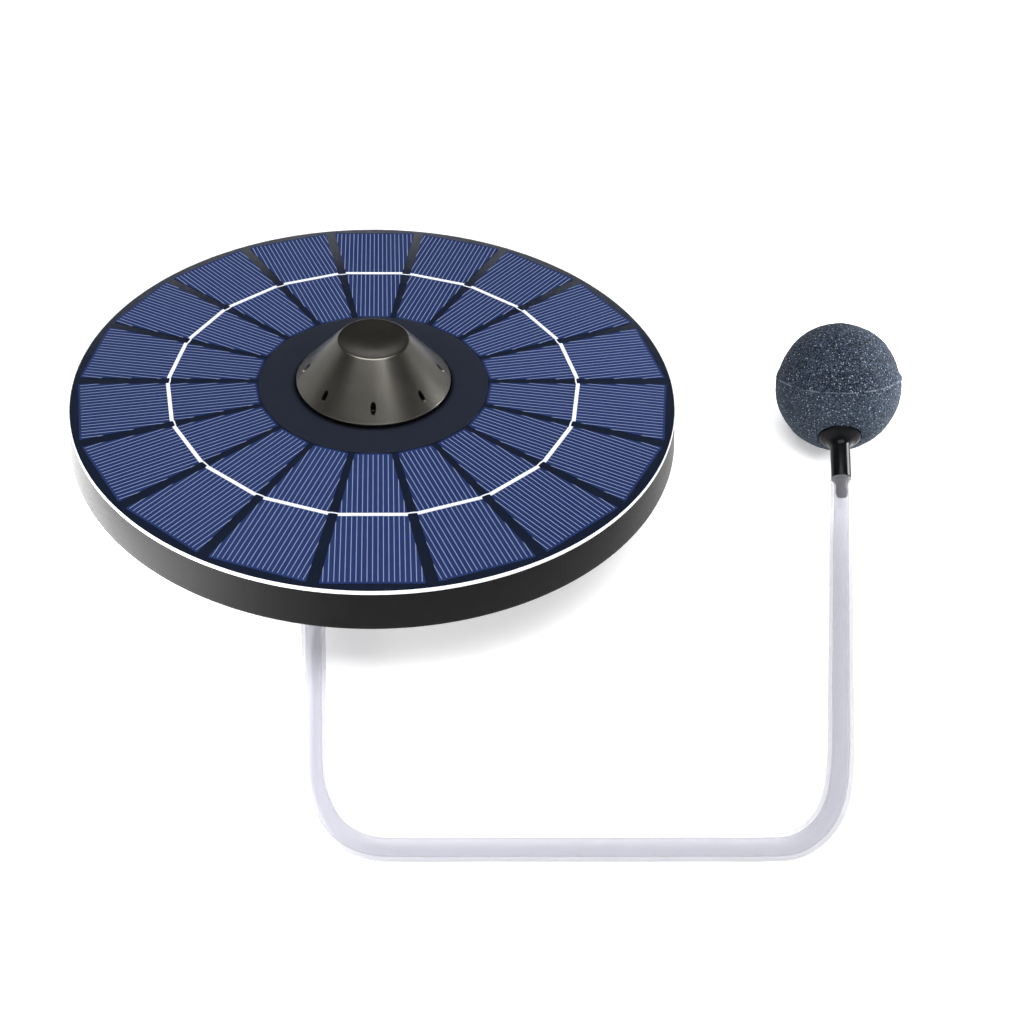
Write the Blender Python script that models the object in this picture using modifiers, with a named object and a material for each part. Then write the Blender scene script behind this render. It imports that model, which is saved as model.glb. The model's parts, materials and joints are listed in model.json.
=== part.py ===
"""Floating solar air pump for a pond, with its air hose and ball air stone.

A round hull with a foam float carries eighteen solar cells on a white board. A
housing under the hull holds a small motor, whose crank works a diaphragm pump.
Air comes in through the slots of the cone cap and a filter sponge, and leaves
through a barb in the housing's side, a soft hose and the stone.

Metres, +Z up. The origin is on the disc's axis, at the foot's flat face.
"""

import math

import bmesh
import bpy
from mathutils import Matrix, Vector

# ---------------------------------------------------------------- hull and panel
DISC_RADIUS = 0.0800
HULL_FOOT_RADIUS = 0.0812
HULL_BASE_Z = 0.0204
PANEL_TOP_Z = 0.0320
WALL = 0.0016
WALL_TOP_Z = 0.03025
FOAM_GAP = 0.0007
WELL_RADIUS = 0.0290
BOARD_BASE_Z = 0.03055
BOARD_TOP_Z = 0.03155
FACE_BASE_Z = 0.03165
FACE_TOP_Z = 0.03185
FACE_RADIUS = 0.0796
CELL_BASE_Z = 0.0319
AIR_HOLE_RADIUS = 0.0090

CELL_COUNT = 18
CELL_FIRST_ANGLE = math.radians(10)
CELL_INNER = 0.0308
CELL_OUTER = 0.0774
CELL_INNER_HALF = 0.00459
CELL_OUTER_HALF = 0.01212
BUSBAR_RADIUS = 0.0540
BUSBAR_HALF_WIDTH = 0.0005
LINK_HALF_WIDTH = 0.0002
BUSBAR_BASE_Z = 0.03205
BUSBAR_TOP_Z = 0.03215

HUB_RADIUS = 0.0306
HUB_TOP_Z = 0.0321

# ---------------------------------------------------------------- cone cap
CAP_BASE_Z = 0.0324
CAP_BASE_RADIUS = 0.0206
CAP_TOP_RADIUS = 0.0091
CAP_HEIGHT = 0.0133
CAP_WALL = 0.0015
CAP_EDGE = 0.0009
CAP_CROWN = 0.0026
SLOT_COUNT = 8
SLOT_RADIUS = 0.0177
SLOT_HEIGHT = 0.0038
SLOT_WIDTH = 0.0013
SLOT_LENGTH = 0.0028

# ---------------------------------------------------------------- air intake
COLLAR_RADIUS = 0.0163
COLLAR_WALL = 0.0010
COLLAR_TOP_Z = 0.0345
COLLAR_FLOOR_Z = 0.0336
COLLAR_FOOT_Z = 0.0292
INTAKE_OUTER = 0.0086
INTAKE_INNER = 0.0070
SPONGE_RADIUS = 0.0148
SPONGE_TOP_RADIUS = 0.0080
SPONGE_BASE_Z = 0.0339
SPONGE_EDGE_Z = 0.0346
SPONGE_TOP_Z = 0.0418

# ---------------------------------------------------------------- pump housing
COVER_RADIUS = 0.0310
COVER_BASE_Z = 0.0012
COVER_TOP_Z = 0.0035
FOOT_RADIUS = 0.0220
GASKET_BASE_Z = 0.0038
GASKET_TOP_Z = 0.0042
HOUSING_BASE_Z = 0.0045
HOUSING_TOP_Z = HULL_BASE_Z - 0.0003
HOUSING_INNER = 0.0294
HOUSING_RIM_RADIUS = 0.0370
HOUSING_RIM_Z = 0.0172
POST_BASE_Z = HOUSING_BASE_Z + 0.0002
POST_TOP_Z = 0.0165
POST_RADIUS = 0.0030
POST_CENTRE = 0.0270
SCREW_RADIUS = 0.0011
SCREW_HOLE = SCREW_RADIUS + 0.0003
SCREW_HEAD_RADIUS = 0.0022
SCREW_TIP_Z = 0.0105

# ---------------------------------------------------------------- motor and pump
MOTOR_Z = 0.0205
MOTOR_RADIUS = 0.0100
MOTOR_HALF_HEIGHT = 0.0075
CAN_BACK_X = -0.0210
CAN_FRONT_X = 0.0020
CAN_WALL = 0.0006
END_CAP_BACK_X = -0.0230
NOSE_RADIUS = 0.0034
BEARING_SEAT = 0.0027
BEARING_RADIUS = 0.0024
MAGNET_OUTER = 0.0091
MAGNET_INNER = 0.0076
MAGNET_REACH = 42
SHAFT_RADIUS = 0.0010
SHAFT_BORE = 0.0013
CRANK_THROW = 0.0010
CRANK_PIN_RADIUS = 0.0010
CRANK_BACK_X = 0.0050
CRANK_FRONT_X = 0.0080
ROD_X = 0.01025
ROD_THICKNESS = 0.0025
ROD_EYE_RADIUS = 0.0031
PUMP_X = ROD_X
PUMP_RADIUS = 0.0095
PUMP_BASE_Z = 0.0038
PUMP_TOP_Z = 0.0096
CHAMBER_FLOOR_Z = 0.0070
PORT_OFFSET = 0.0040
FLAP_RADIUS = 0.0020
FLAP_THICKNESS = 0.0003
INTAKE_FLAP_Z = 0.0071
OUTLET_FLAP_Z = 0.0056
OUTLET_DUCT_Z = 0.0053
INTAKE_DUCT_Z = 0.0062

# ---------------------------------------------------------------- outlet, hose and stone
BARB_X = -0.0160
BARB_Z = 0.0086
BOSS_RADIUS = 0.0038
BOSS_FACE_Y = -0.0335
BARB_FACE_Y = -0.0358
HOSE_RADIUS = 0.0030
FLOOR_LINE = 0.00305
STONE_RADIUS = 0.0170
STONE_HALF_LENGTH = 0.0185
STONE_CENTRE = Vector((0.1325, 0.0180, 0.0173))
STEM_DIRECTION = Vector((-0.130, -0.9366, -0.325)).normalized()
STEM_RADIUS = 0.0027
STEM_END = 0.0314
FLANGE_RADIUS = 0.0057
FLANGE_BASE = 0.0163

HOSE_ROUTE = (
    (-0.0160, BARB_FACE_Y - 0.0003, BARB_Z),
    (-0.0160, -0.0430, 0.0081),
    (-0.0157, -0.0510, 0.0061),
    (-0.0151, -0.0585, 0.0038),
    (-0.0146, -0.0670, FLOOR_LINE),
    (-0.0141, -0.0804, FLOOR_LINE),
    (-0.0136, -0.0950, FLOOR_LINE),
    (-0.0131, -0.1070, FLOOR_LINE),
    (-0.0114, -0.1152, FLOOR_LINE),
    (-0.0074, -0.1230, FLOOR_LINE),
    (-0.0008, -0.1272, FLOOR_LINE),
    (0.0080, -0.1279, FLOOR_LINE),
    (0.0271, -0.1280, FLOOR_LINE),
    (0.0484, -0.1282, FLOOR_LINE),
    (0.0697, -0.1283, FLOOR_LINE),
    (0.0830, -0.1284, FLOOR_LINE),
    (0.0906, -0.1276, FLOOR_LINE),
    (0.0972, -0.1229, FLOOR_LINE),
    (0.1020, -0.1156, FLOOR_LINE),
    (0.1058, -0.1048, FLOOR_LINE),
    (0.1102, -0.0874, FLOOR_LINE),
    (0.1143, -0.0711, FLOOR_LINE),
    (0.1186, -0.0540, FLOOR_LINE),
    (0.1222, -0.0393, FLOOR_LINE),
    (0.1254, -0.0265, 0.0035),
    (0.1271, -0.0190, 0.0048),
)
HOSE_SPACING = 0.0062

INNER_TUBE_ROUTE = (
    (0.0062, -0.0126, 0.0053),
    (0.0061, -0.0140, 0.0053),
    (0.0035, -0.0158, 0.0057),
    (-0.0010, -0.0166, 0.0062),
    (-0.0070, -0.0166, 0.0070),
    (-0.0120, -0.0170, 0.0078),
    (-0.0148, -0.0184, 0.0084),
    (-0.0160, -0.0206, 0.0086),
    (-0.0160, -0.0218, 0.0086),
)
INNER_TUBE_RADIUS = 0.0016

LEAD_ROUTE = (
    (-0.0040, 0.0185, 0.0282),
    (-0.0085, 0.0180, 0.0280),
    (-0.0140, 0.0165, 0.0274),
    (-0.0190, 0.0148, 0.0258),
    (-0.0242, 0.0120, 0.0236),
    (-0.0260, 0.0084, 0.0222),
    (-0.0260, 0.0050, 0.0212),
)
LEAD_RADIUS = 0.0005
LEAD_PITCH = 0.0026


# ---------------------------------------------------------------- shared tools
def clear_scene():
    for obj in list(bpy.data.objects):
        bpy.data.objects.remove(obj)


def new_collection(name):
    collection = bpy.data.collections.new(name)
    bpy.context.scene.collection.children.link(collection)
    return collection


def new_material(name, colour, roughness, metallic=0.0):
    material = bpy.data.materials.new(name)
    material.use_nodes = True
    shader = material.node_tree.nodes["Principled BSDF"]
    shader.inputs["Base Color"].default_value = (*colour, 1.0)
    shader.inputs["Roughness"].default_value = roughness
    shader.inputs["Metallic"].default_value = metallic
    return material


def add_object(name, data, material):
    """Puts a mesh or curve in the pump's collection, or in the cutters' when it has no material."""
    obj = bpy.data.objects.new(name, data)
    if material is None:
        obj.hide_render = True
        obj.display_type = "WIRE"
        CUTTERS.objects.link(obj)
        return obj
    data.materials.append(material)
    PUMP.objects.link(obj)
    return obj


def turned(name, profile, material, steps=48, ring=False):
    """A turned shape. The profile of (radius, height) runs down the outer side; a ring's closes up its bore."""
    mesh = bpy.data.meshes.new(name)
    edges = [(i, i + 1) for i in range(len(profile) - 1)]
    if ring:
        edges.append((len(profile) - 1, 0))
    mesh.from_pydata([(radius, 0.0, height) for radius, height in profile], edges, [])
    obj = add_object(name, mesh, material)
    screw = obj.modifiers.new("Turn", "SCREW")
    screw.axis = "Z"
    screw.steps = steps
    screw.render_steps = steps
    screw.use_merge_vertices = True
    screw.merge_threshold = 0.00002
    screw.use_smooth_shade = False
    return obj


def cylinder(name, radius, low, high, material, steps=24):
    return turned(name, [(0.0, high), (radius, high), (radius, low), (0.0, low)], material, steps)


def tube(name, outer, inner, low, high, material, steps=24):
    return turned(
        name, [(outer, high), (outer, low), (inner, low), (inner, high)], material, steps, ring=True
    )


def plate(name, outlines, low, high, material):
    """A flat piece between two heights, from closed outlines of (x, y); the later ones are holes."""
    curve = bpy.data.curves.new(name, "CURVE")
    curve.dimensions = "2D"
    curve.fill_mode = "BOTH"
    curve.extrude = (high - low) / 2
    for outline in outlines:
        spline = curve.splines.new("POLY")
        spline.points.add(len(outline) - 1)
        for point, (x, y) in zip(spline.points, outline):
            point.co = (x, y, 0.0, 1.0)
        spline.use_cyclic_u = True
    obj = add_object(name, curve, material)
    obj.location.z = (low + high) / 2
    return obj


def solid_plate(name, outlines, low, high, material):
    """The same flat piece as a mesh, which can be cut and joined."""
    source = plate(name + "_outline", outlines, low, high, None)
    bpy.context.view_layer.update()
    graph = bpy.context.evaluated_depsgraph_get()
    mesh = bpy.data.meshes.new_from_object(source.evaluated_get(graph))
    weld_points(mesh)
    obj = add_object(name, mesh, material)
    obj.matrix_world = source.matrix_world
    bpy.data.objects.remove(source)
    return obj


def weld_points(mesh):
    work = bmesh.new()
    work.from_mesh(mesh)
    bmesh.ops.remove_doubles(work, verts=work.verts, dist=0.00001)
    work.to_mesh(mesh)
    work.free()


def along_x(obj, x=0.0, y=0.0, z=0.0):
    """Lays a shape made along Z down along X, with its own X turned to world Y and its Y to world Z."""
    obj.rotation_euler = (math.pi / 2, 0.0, math.pi / 2)
    obj.location = (x, y, z)
    return obj


def along_minus_y(obj, x, z):
    """Lays a shape made along Z down along -Y, through x and z."""
    obj.rotation_euler = (math.pi / 2, 0.0, 0.0)
    obj.location = (x, 0.0, z)
    return obj


def combine(target, other, operation):
    modifier = target.modifiers.new(operation.title(), "BOOLEAN")
    modifier.operation = operation
    modifier.solver = "EXACT"
    modifier.object = other


def arc(radius, start, end, steps, centre=(0.0, 0.0)):
    """Points on an arc, angles in degrees, both ends included."""
    angles = [math.radians(start + (end - start) * i / steps) for i in range(steps + 1)]
    return [(centre[0] + radius * math.cos(a), centre[1] + radius * math.sin(a)) for a in angles]


def circle(radius, steps, centre=(0.0, 0.0)):
    return arc(radius, 0, 360, steps, centre)[:-1]


def smooth_route(route, spacing):
    """Points an even distance apart on a Catmull-Rom curve through the route's own points."""
    knots = [Vector(point) for point in route]
    knots = [2 * knots[0] - knots[1], *knots, 2 * knots[-1] - knots[-2]]
    fine = []
    for before, start, end, after in zip(knots, knots[1:], knots[2:], knots[3:]):
        for i in range(24):
            t = i / 24
            fine.append(
                0.5
                * (
                    2 * start
                    + (end - before) * t
                    + (2 * before - 5 * start + 4 * end - after) * t**2
                    + (3 * start - 3 * end + after - before) * t**3
                )
            )
    fine.append(knots[-2])
    lengths = [0.0]
    for a, b in zip(fine, fine[1:]):
        lengths.append(lengths[-1] + (b - a).length)
    count = max(2, round(lengths[-1] / spacing))
    points = []
    index = 0
    for i in range(count + 1):
        wanted = lengths[-1] * i / count
        while index < len(fine) - 2 and lengths[index + 1] < wanted:
            index += 1
        share = (wanted - lengths[index]) / (lengths[index + 1] - lengths[index])
        points.append(fine[index].lerp(fine[index + 1], min(share, 1.0)))
    return points


def round_wire(name, points, radius, material):
    curve = bpy.data.curves.new(name, "CURVE")
    curve.dimensions = "3D"
    curve.bevel_depth = radius
    curve.bevel_resolution = 2
    curve.use_fill_caps = True
    spline = curve.splines.new("POLY")
    spline.points.add(len(points) - 1)
    for point, place in zip(spline.points, points):
        point.co = (*place, 1.0)
    return add_object(name, curve, material)


# ---------------------------------------------------------------- hull and float
def make_hull():
    """The wall widens a little towards its foot, and the float lies inside."""
    lip = 0.0007
    profile = [
        (DISC_RADIUS, WALL_TOP_Z),
        (HULL_FOOT_RADIUS, HULL_BASE_Z + lip),
        (HULL_FOOT_RADIUS - lip, HULL_BASE_Z),
        (WELL_RADIUS, HULL_BASE_Z),
        (WELL_RADIUS, WALL_TOP_Z),
        (WELL_RADIUS + WALL, WALL_TOP_Z),
        (WELL_RADIUS + WALL, HULL_BASE_Z + WALL),
        (HULL_FOOT_RADIUS - WALL, HULL_BASE_Z + WALL),
        (DISC_RADIUS - WALL, WALL_TOP_Z),
    ]
    turned("hull_tray", profile, BLACK_PLASTIC, steps=72, ring=True)
    tube(
        "foam_ring",
        DISC_RADIUS - WALL - FOAM_GAP,
        WELL_RADIUS + WALL + FOAM_GAP,
        HULL_BASE_Z + WALL + 0.0003,
        WALL_TOP_Z - 0.0002,
        WHITE_FOAM,
        steps=48,
    )


# ---------------------------------------------------------------- solar panel
def make_panel():
    tube("panel_board", DISC_RADIUS, AIR_HOLE_RADIUS, BOARD_BASE_Z, BOARD_TOP_Z, WHITE_PLASTIC, 72)
    tube("panel_face", FACE_RADIUS, AIR_HOLE_RADIUS, FACE_BASE_Z, FACE_TOP_Z, PANEL_BLACK, 72)
    tube("hub_plate", HUB_RADIUS, AIR_HOLE_RADIUS, CELL_BASE_Z, HUB_TOP_Z, HUB_PLASTIC, 48)
    corner = 0.0006
    outline = [
        (CELL_INNER, -CELL_INNER_HALF),
        (CELL_OUTER - corner, -CELL_OUTER_HALF),
        (CELL_OUTER, -CELL_OUTER_HALF + corner),
        (CELL_OUTER, CELL_OUTER_HALF - corner),
        (CELL_OUTER - corner, CELL_OUTER_HALF),
        (CELL_INNER, CELL_INNER_HALF),
    ]
    first = solid_plate("solar_cell_01", [outline], CELL_BASE_Z, PANEL_TOP_Z, CELL_BLUE)
    first.rotation_euler.z = CELL_FIRST_ANGLE
    for index in range(1, CELL_COUNT):
        cell = bpy.data.objects.new(f"solar_cell_{index + 1:02d}", first.data)
        cell.location = first.location
        cell.rotation_euler.z = CELL_FIRST_ANGLE + index * math.tau / CELL_COUNT
        PUMP.objects.link(cell)
    plate("busbar_ring", busbar_outlines(), BUSBAR_BASE_Z, BUSBAR_TOP_Z, BUSBAR_SILVER)


def cell_half_width(radius):
    share = (radius - CELL_INNER) / (CELL_OUTER - CELL_INNER)
    return CELL_INNER_HALF + share * (CELL_OUTER_HALF - CELL_INNER_HALF)


def busbar_outlines():
    """One straight bar on each cell, joined over the gaps by narrow links: the outer edge and the inner."""
    reach = cell_half_width(BUSBAR_RADIUS)
    outlines = []
    for side in (1, -1):
        bar = BUSBAR_RADIUS + side * BUSBAR_HALF_WIDTH
        link = BUSBAR_RADIUS + side * LINK_HALF_WIDTH
        outline = []
        for index in range(CELL_COUNT):
            angle = CELL_FIRST_ANGLE + index * math.tau / CELL_COUNT
            for x, y in ((link, -reach), (bar, -reach), (bar, reach), (link, reach)):
                outline.append(
                    (x * math.cos(angle) - y * math.sin(angle), x * math.sin(angle) + y * math.cos(angle))
                )
        outlines.append(outline)
    return outlines


# ---------------------------------------------------------------- cone cap and air intake
def make_cap():
    outer = [
        (0.0, CAP_HEIGHT - 0.0010),
        (0.0052, CAP_HEIGHT - 0.0008),
        (0.0078, CAP_HEIGHT - 0.0001),
        (CAP_TOP_RADIUS - 0.0004, CAP_HEIGHT),
        (CAP_TOP_RADIUS, CAP_HEIGHT - 0.0003),
        (CAP_BASE_RADIUS - 0.0002, CAP_EDGE),
        (CAP_BASE_RADIUS, CAP_EDGE - 0.0002),
        (CAP_BASE_RADIUS, 0.0),
    ]
    inner = [
        (CAP_BASE_RADIUS - CAP_WALL - 0.0003, 0.0),
        (CAP_TOP_RADIUS - 0.0008, CAP_HEIGHT - CAP_CROWN),
        (0.0, CAP_HEIGHT - CAP_CROWN),
    ]
    cap = turned("cone_cap", outer + inner, CAP_METAL, steps=40)
    cap.location.z = CAP_BASE_Z
    cutter = slot_cutter()
    cutter.location.z = CAP_BASE_Z
    combine(cap, cutter, "DIFFERENCE")


def slot_cutter():
    """Eight round-ended bars, each along the cone's own slope and through its wall."""
    slope = math.atan2(CAP_HEIGHT - SLOT_HEIGHT, SLOT_RADIUS - CAP_TOP_RADIUS)
    work = bmesh.new()
    for index in range(SLOT_COUNT):
        turn = Matrix.Rotation(index * math.tau / SLOT_COUNT, 4, "Z")
        place = Matrix.Translation((SLOT_RADIUS, 0.0, SLOT_HEIGHT))
        lean = Matrix.Rotation(math.pi / 2 - slope, 4, "Y")
        size = Matrix.Diagonal((SLOT_LENGTH, SLOT_WIDTH, 0.006, 1.0))
        bmesh.ops.create_cone(
            work,
            cap_ends=True,
            segments=10,
            radius1=0.5,
            radius2=0.5,
            depth=1.0,
            matrix=turn @ place @ lean @ size,
        )
    mesh = bpy.data.meshes.new("slot_cutter")
    work.to_mesh(mesh)
    work.free()
    return add_object("slot_cutter", mesh, None)


def make_intake():
    """The collar holds the cap and the sponge, and leads the air down through the board."""
    inner_wall = COLLAR_RADIUS - COLLAR_WALL
    collar = [
        (COLLAR_RADIUS, COLLAR_TOP_Z),
        (COLLAR_RADIUS, CAP_BASE_Z),
        (INTAKE_OUTER, CAP_BASE_Z),
        (INTAKE_OUTER, COLLAR_FOOT_Z),
        (INTAKE_INNER, COLLAR_FOOT_Z),
        (INTAKE_INNER, COLLAR_FLOOR_Z),
        (inner_wall, COLLAR_FLOOR_Z),
        (inner_wall, COLLAR_TOP_Z),
    ]
    turned("intake_collar", collar, BLACK_PLASTIC, steps=36, ring=True)
    sponge = [
        (0.0, SPONGE_TOP_Z),
        (SPONGE_TOP_RADIUS, SPONGE_TOP_Z),
        (SPONGE_RADIUS, SPONGE_EDGE_Z),
        (SPONGE_RADIUS, SPONGE_BASE_Z),
        (0.0, SPONGE_BASE_Z),
    ]
    turned("filter_sponge", sponge, SPONGE_GREY, steps=24)


# ---------------------------------------------------------------- pump housing
def at_posts(make):
    """Puts one piece at each of the four posts, turned half a facet so that no corner meets a seam."""
    pieces = []
    for index, (x, y) in enumerate(post_places()):
        piece = make(index)
        piece.location = (x, y, 0.0)
        piece.rotation_euler.z = math.radians(11)
        pieces.append(piece)
    return pieces


def post_places():
    return [
        (POST_CENTRE * math.cos(angle), POST_CENTRE * math.sin(angle))
        for angle in (0.0, math.pi / 2, math.pi, -math.pi / 2)
    ]


def make_housing():
    profile = [
        (HOUSING_RIM_RADIUS, HOUSING_TOP_Z),
        (HOUSING_RIM_RADIUS, HOUSING_RIM_Z + 0.0009),
        (HOUSING_RIM_RADIUS - 0.0006, HOUSING_RIM_Z + 0.0003),
        (COVER_RADIUS + 0.0015, HOUSING_RIM_Z),
        (COVER_RADIUS, HOUSING_BASE_Z),
        (HOUSING_INNER, HOUSING_BASE_Z),
        (HOUSING_INNER, HOUSING_TOP_Z),
    ]
    housing = turned("pump_housing", profile, BLACK_PLASTIC, steps=48, ring=True)
    boss = cylinder("boss", BOSS_RADIUS, 0.0230, -BOSS_FACE_Y, None, 20)
    combine(housing, along_minus_y(boss, BARB_X, BARB_Z), "UNION")
    posts = at_posts(lambda i: cylinder(f"post_{i}", POST_RADIUS, POST_BASE_Z, POST_TOP_Z, None, 16))
    holes = at_posts(lambda i: cylinder(f"post_hole_{i}", SCREW_HOLE, 0.0040, 0.0120, None, 12))
    for post, hole in zip(posts, holes):
        combine(housing, post, "UNION")
        combine(housing, hole, "DIFFERENCE")
    bore = cylinder("boss_bore", 0.0022, 0.0200, 0.0360, None, 16)
    combine(housing, along_minus_y(bore, BARB_X, BARB_Z), "DIFFERENCE")


def make_base_cover():
    profile = [
        (0.0, COVER_TOP_Z),
        (COVER_RADIUS, COVER_TOP_Z),
        (COVER_RADIUS, COVER_BASE_Z + 0.0005),
        (COVER_RADIUS - 0.0005, COVER_BASE_Z),
        (FOOT_RADIUS, COVER_BASE_Z),
        (FOOT_RADIUS - 0.0004, 0.0),
        (0.0, 0.0),
    ]
    cover = turned("base_cover", profile, BLACK_PLASTIC, steps=48)
    for hole in at_posts(lambda i: cylinder(f"cover_hole_{i}", SCREW_HOLE, 0.0, 0.0050, None, 12)):
        combine(cover, hole, "DIFFERENCE")
    gasket_outer = circle(COVER_RADIUS, 48)
    gasket_inner = circle(POST_CENTRE + SCREW_RADIUS + 0.0008, 48)
    plate("base_gasket", [gasket_outer, gasket_inner], GASKET_BASE_Z, GASKET_TOP_Z, RUBBER)
    head_top = COVER_BASE_Z - 0.0001
    head_low = 0.0003
    screw = [
        (0.0, SCREW_TIP_Z),
        (SCREW_RADIUS - 0.0004, SCREW_TIP_Z),
        (SCREW_RADIUS, SCREW_TIP_Z - 0.0007),
        (SCREW_RADIUS, head_top),
        (SCREW_HEAD_RADIUS, head_top),
        (SCREW_HEAD_RADIUS, head_low + 0.0003),
        (SCREW_HEAD_RADIUS - 0.0005, head_low),
        (0.0, head_low),
    ]
    at_posts(lambda i: turned(f"cover_screw_{i + 1}", screw, STEEL, steps=12))


# ---------------------------------------------------------------- motor
def flat_sided(radius, steps=24):
    """A circle whose top and bottom are cut flat at the motor's height."""
    share = MOTOR_HALF_HEIGHT / MOTOR_RADIUS
    limit = radius * share
    cut = math.degrees(math.asin(share))
    right = arc(radius, -cut, cut, steps // 2)
    left = arc(radius, 180 - cut, 180 + cut, steps // 2)
    return [(x, max(-limit, min(limit, y))) for x, y in right + left]


def make_motor():
    inner = flat_sided(MOTOR_RADIUS - CAN_WALL)
    can = solid_plate("motor_can", [flat_sided(MOTOR_RADIUS)], CAN_BACK_X, CAN_FRONT_X, STEEL)
    along_x(can, (CAN_BACK_X + CAN_FRONT_X) / 2, 0.0, MOTOR_Z)
    hollow_back = CAN_BACK_X - 0.001
    hollow_front = CAN_FRONT_X - CAN_WALL
    hollow = solid_plate("can_hollow", [inner], hollow_back, hollow_front, None)
    along_x(hollow, (hollow_back + hollow_front) / 2, 0.0, MOTOR_Z)
    combine(can, hollow, "DIFFERENCE")
    nose = cylinder("can_nose", NOSE_RADIUS, 0.0008, 0.0036, None, 20)
    combine(can, along_x(nose, z=MOTOR_Z), "UNION")
    nose_bore = cylinder("can_nose_bore", BEARING_SEAT, 0.0004, 0.0040, None, 20)
    combine(can, along_x(nose_bore, z=MOTOR_Z), "DIFFERENCE")

    bearing_bore = SHAFT_RADIUS + 0.00006
    front = tube("bearing_front", BEARING_RADIUS, bearing_bore, 0.0010, 0.0036, BRONZE, 24)
    along_x(front, z=MOTOR_Z)
    rear = tube("bearing_rear", BEARING_RADIUS, bearing_bore, -0.0236, -0.0216, BRONZE, 24)
    along_x(rear, z=MOTOR_Z)

    cap_outlines = [flat_sided(MOTOR_RADIUS - 0.0002), circle(BEARING_SEAT, 24)]
    end_cap_front = CAN_BACK_X - 0.0003
    end_cap = plate("motor_end_cap", cap_outlines, END_CAP_BACK_X, end_cap_front, NYLON_WHITE)
    along_x(end_cap, (END_CAP_BACK_X + end_cap_front) / 2, 0.0, MOTOR_Z)

    for name, side in (("magnet_front", 180), ("magnet_back", 0)):
        first, last = side - MAGNET_REACH, side + MAGNET_REACH
        outline = arc(MAGNET_OUTER, first, last, 10) + arc(MAGNET_INNER, last, first, 10)
        magnet = plate(name, [outline], -0.0170, -0.0030, FERRITE)
        along_x(magnet, -0.0100, 0.0, MOTOR_Z)


def armature_outline():
    """Three poles, each a narrow neck with a broad curved tip."""
    hub, neck, shoulder, tip = 0.0030, 0.0010, 0.0054, 0.0066
    outline = []
    for pole in range(3):
        middle = 120 * pole + 90
        out = Vector((math.cos(math.radians(middle)), math.sin(math.radians(middle))))
        side = Vector((out.y, -out.x))
        outline.append(tuple(out * hub + side * neck))
        outline.append(tuple(out * shoulder + side * neck))
        outline += arc(shoulder, middle - 48, middle - 47, 1)[:1]
        outline += arc(tip, middle - 48, middle + 48, 8)
        outline += arc(shoulder, middle + 48, middle + 47, 1)[:1]
        outline.append(tuple(out * shoulder - side * neck))
        outline.append(tuple(out * hub - side * neck))
    return outline[::-1]


def make_rotor():
    hub = bpy.data.objects.new("rotor_axis", None)
    PUMP.objects.link(hub)
    hub.location = (0.0, 0.0, MOTOR_Z)

    def on_axis(obj, x=0.0):
        obj.parent = hub
        return along_x(obj, x)

    shaft = cylinder("motor_shaft", SHAFT_RADIUS, -0.0242, 0.0074, STEEL, 24)
    on_axis(shaft)
    bore = circle(SHAFT_BORE, 16)
    armature = plate("motor_armature", [armature_outline(), bore], -0.0160, -0.0040, COPPER)
    on_axis(armature, -0.0100)
    on_axis(tube("motor_commutator", 0.0024, SHAFT_BORE, -0.0198, -0.0164, COPPER, 20))
    wheel = cylinder("crank_wheel", 0.0042, CRANK_BACK_X, CRANK_FRONT_X, BRASS, 24)
    on_axis(wheel)
    socket = cylinder("crank_socket", SHAFT_BORE, CRANK_BACK_X - 0.001, 0.0081, None, 16)
    pin = cylinder("crank_pin", CRANK_PIN_RADIUS, CRANK_FRONT_X, 0.0122, None, 12)
    web = cylinder("crank_web", 0.0034, CRANK_FRONT_X - 0.0002, 0.0087, None, 24)
    for tool in (socket, pin, web):
        along_x(tool, z=MOTOR_Z)
    pin.location.y = CRANK_THROW
    combine(wheel, socket, "DIFFERENCE")
    combine(wheel, web, "UNION")
    combine(wheel, pin, "UNION")


def make_motor_mount():
    """A cradle under the motor, and a steel strap over it."""
    low, high = 0.0038, 0.0170
    inner_half = MOTOR_RADIUS + 0.0003
    outer_half = inner_half + 0.0015
    seat = MOTOR_Z - MOTOR_HALF_HEIGHT - 0.0003
    cradle = [
        (-outer_half, low),
        (outer_half, low),
        (outer_half, high),
        (inner_half, high),
        (inner_half, seat),
        (-inner_half, seat),
        (-inner_half, high),
        (-outer_half, high),
    ]
    along_x(plate("motor_cradle", [cradle], -0.0190, 0.0002, GREY_PLASTIC), -0.0094)
    thickness = 0.0005
    top = MOTOR_Z + MOTOR_HALF_HEIGHT + 0.0003
    foot = high + 0.0003
    strap = [
        (inner_half, foot),
        (outer_half, foot),
        (outer_half, foot + thickness),
        (inner_half + thickness, foot + thickness),
        (inner_half + thickness, top - 0.0015),
        (inner_half - 0.0012, top + thickness),
    ]
    inside = [
        (-inner_half + 0.0014, top),
        (-inner_half, top - 0.0015),
    ]
    mirrored = [(-x, y) for x, y in reversed(strap)]
    returned = [(-inner_half, foot), *reversed(inside), *[(-x, y) for x, y in inside]]
    along_x(plate("motor_strap", [strap + mirrored + returned[1:]], -0.0120, -0.0070, STEEL), -0.0095)


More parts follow.
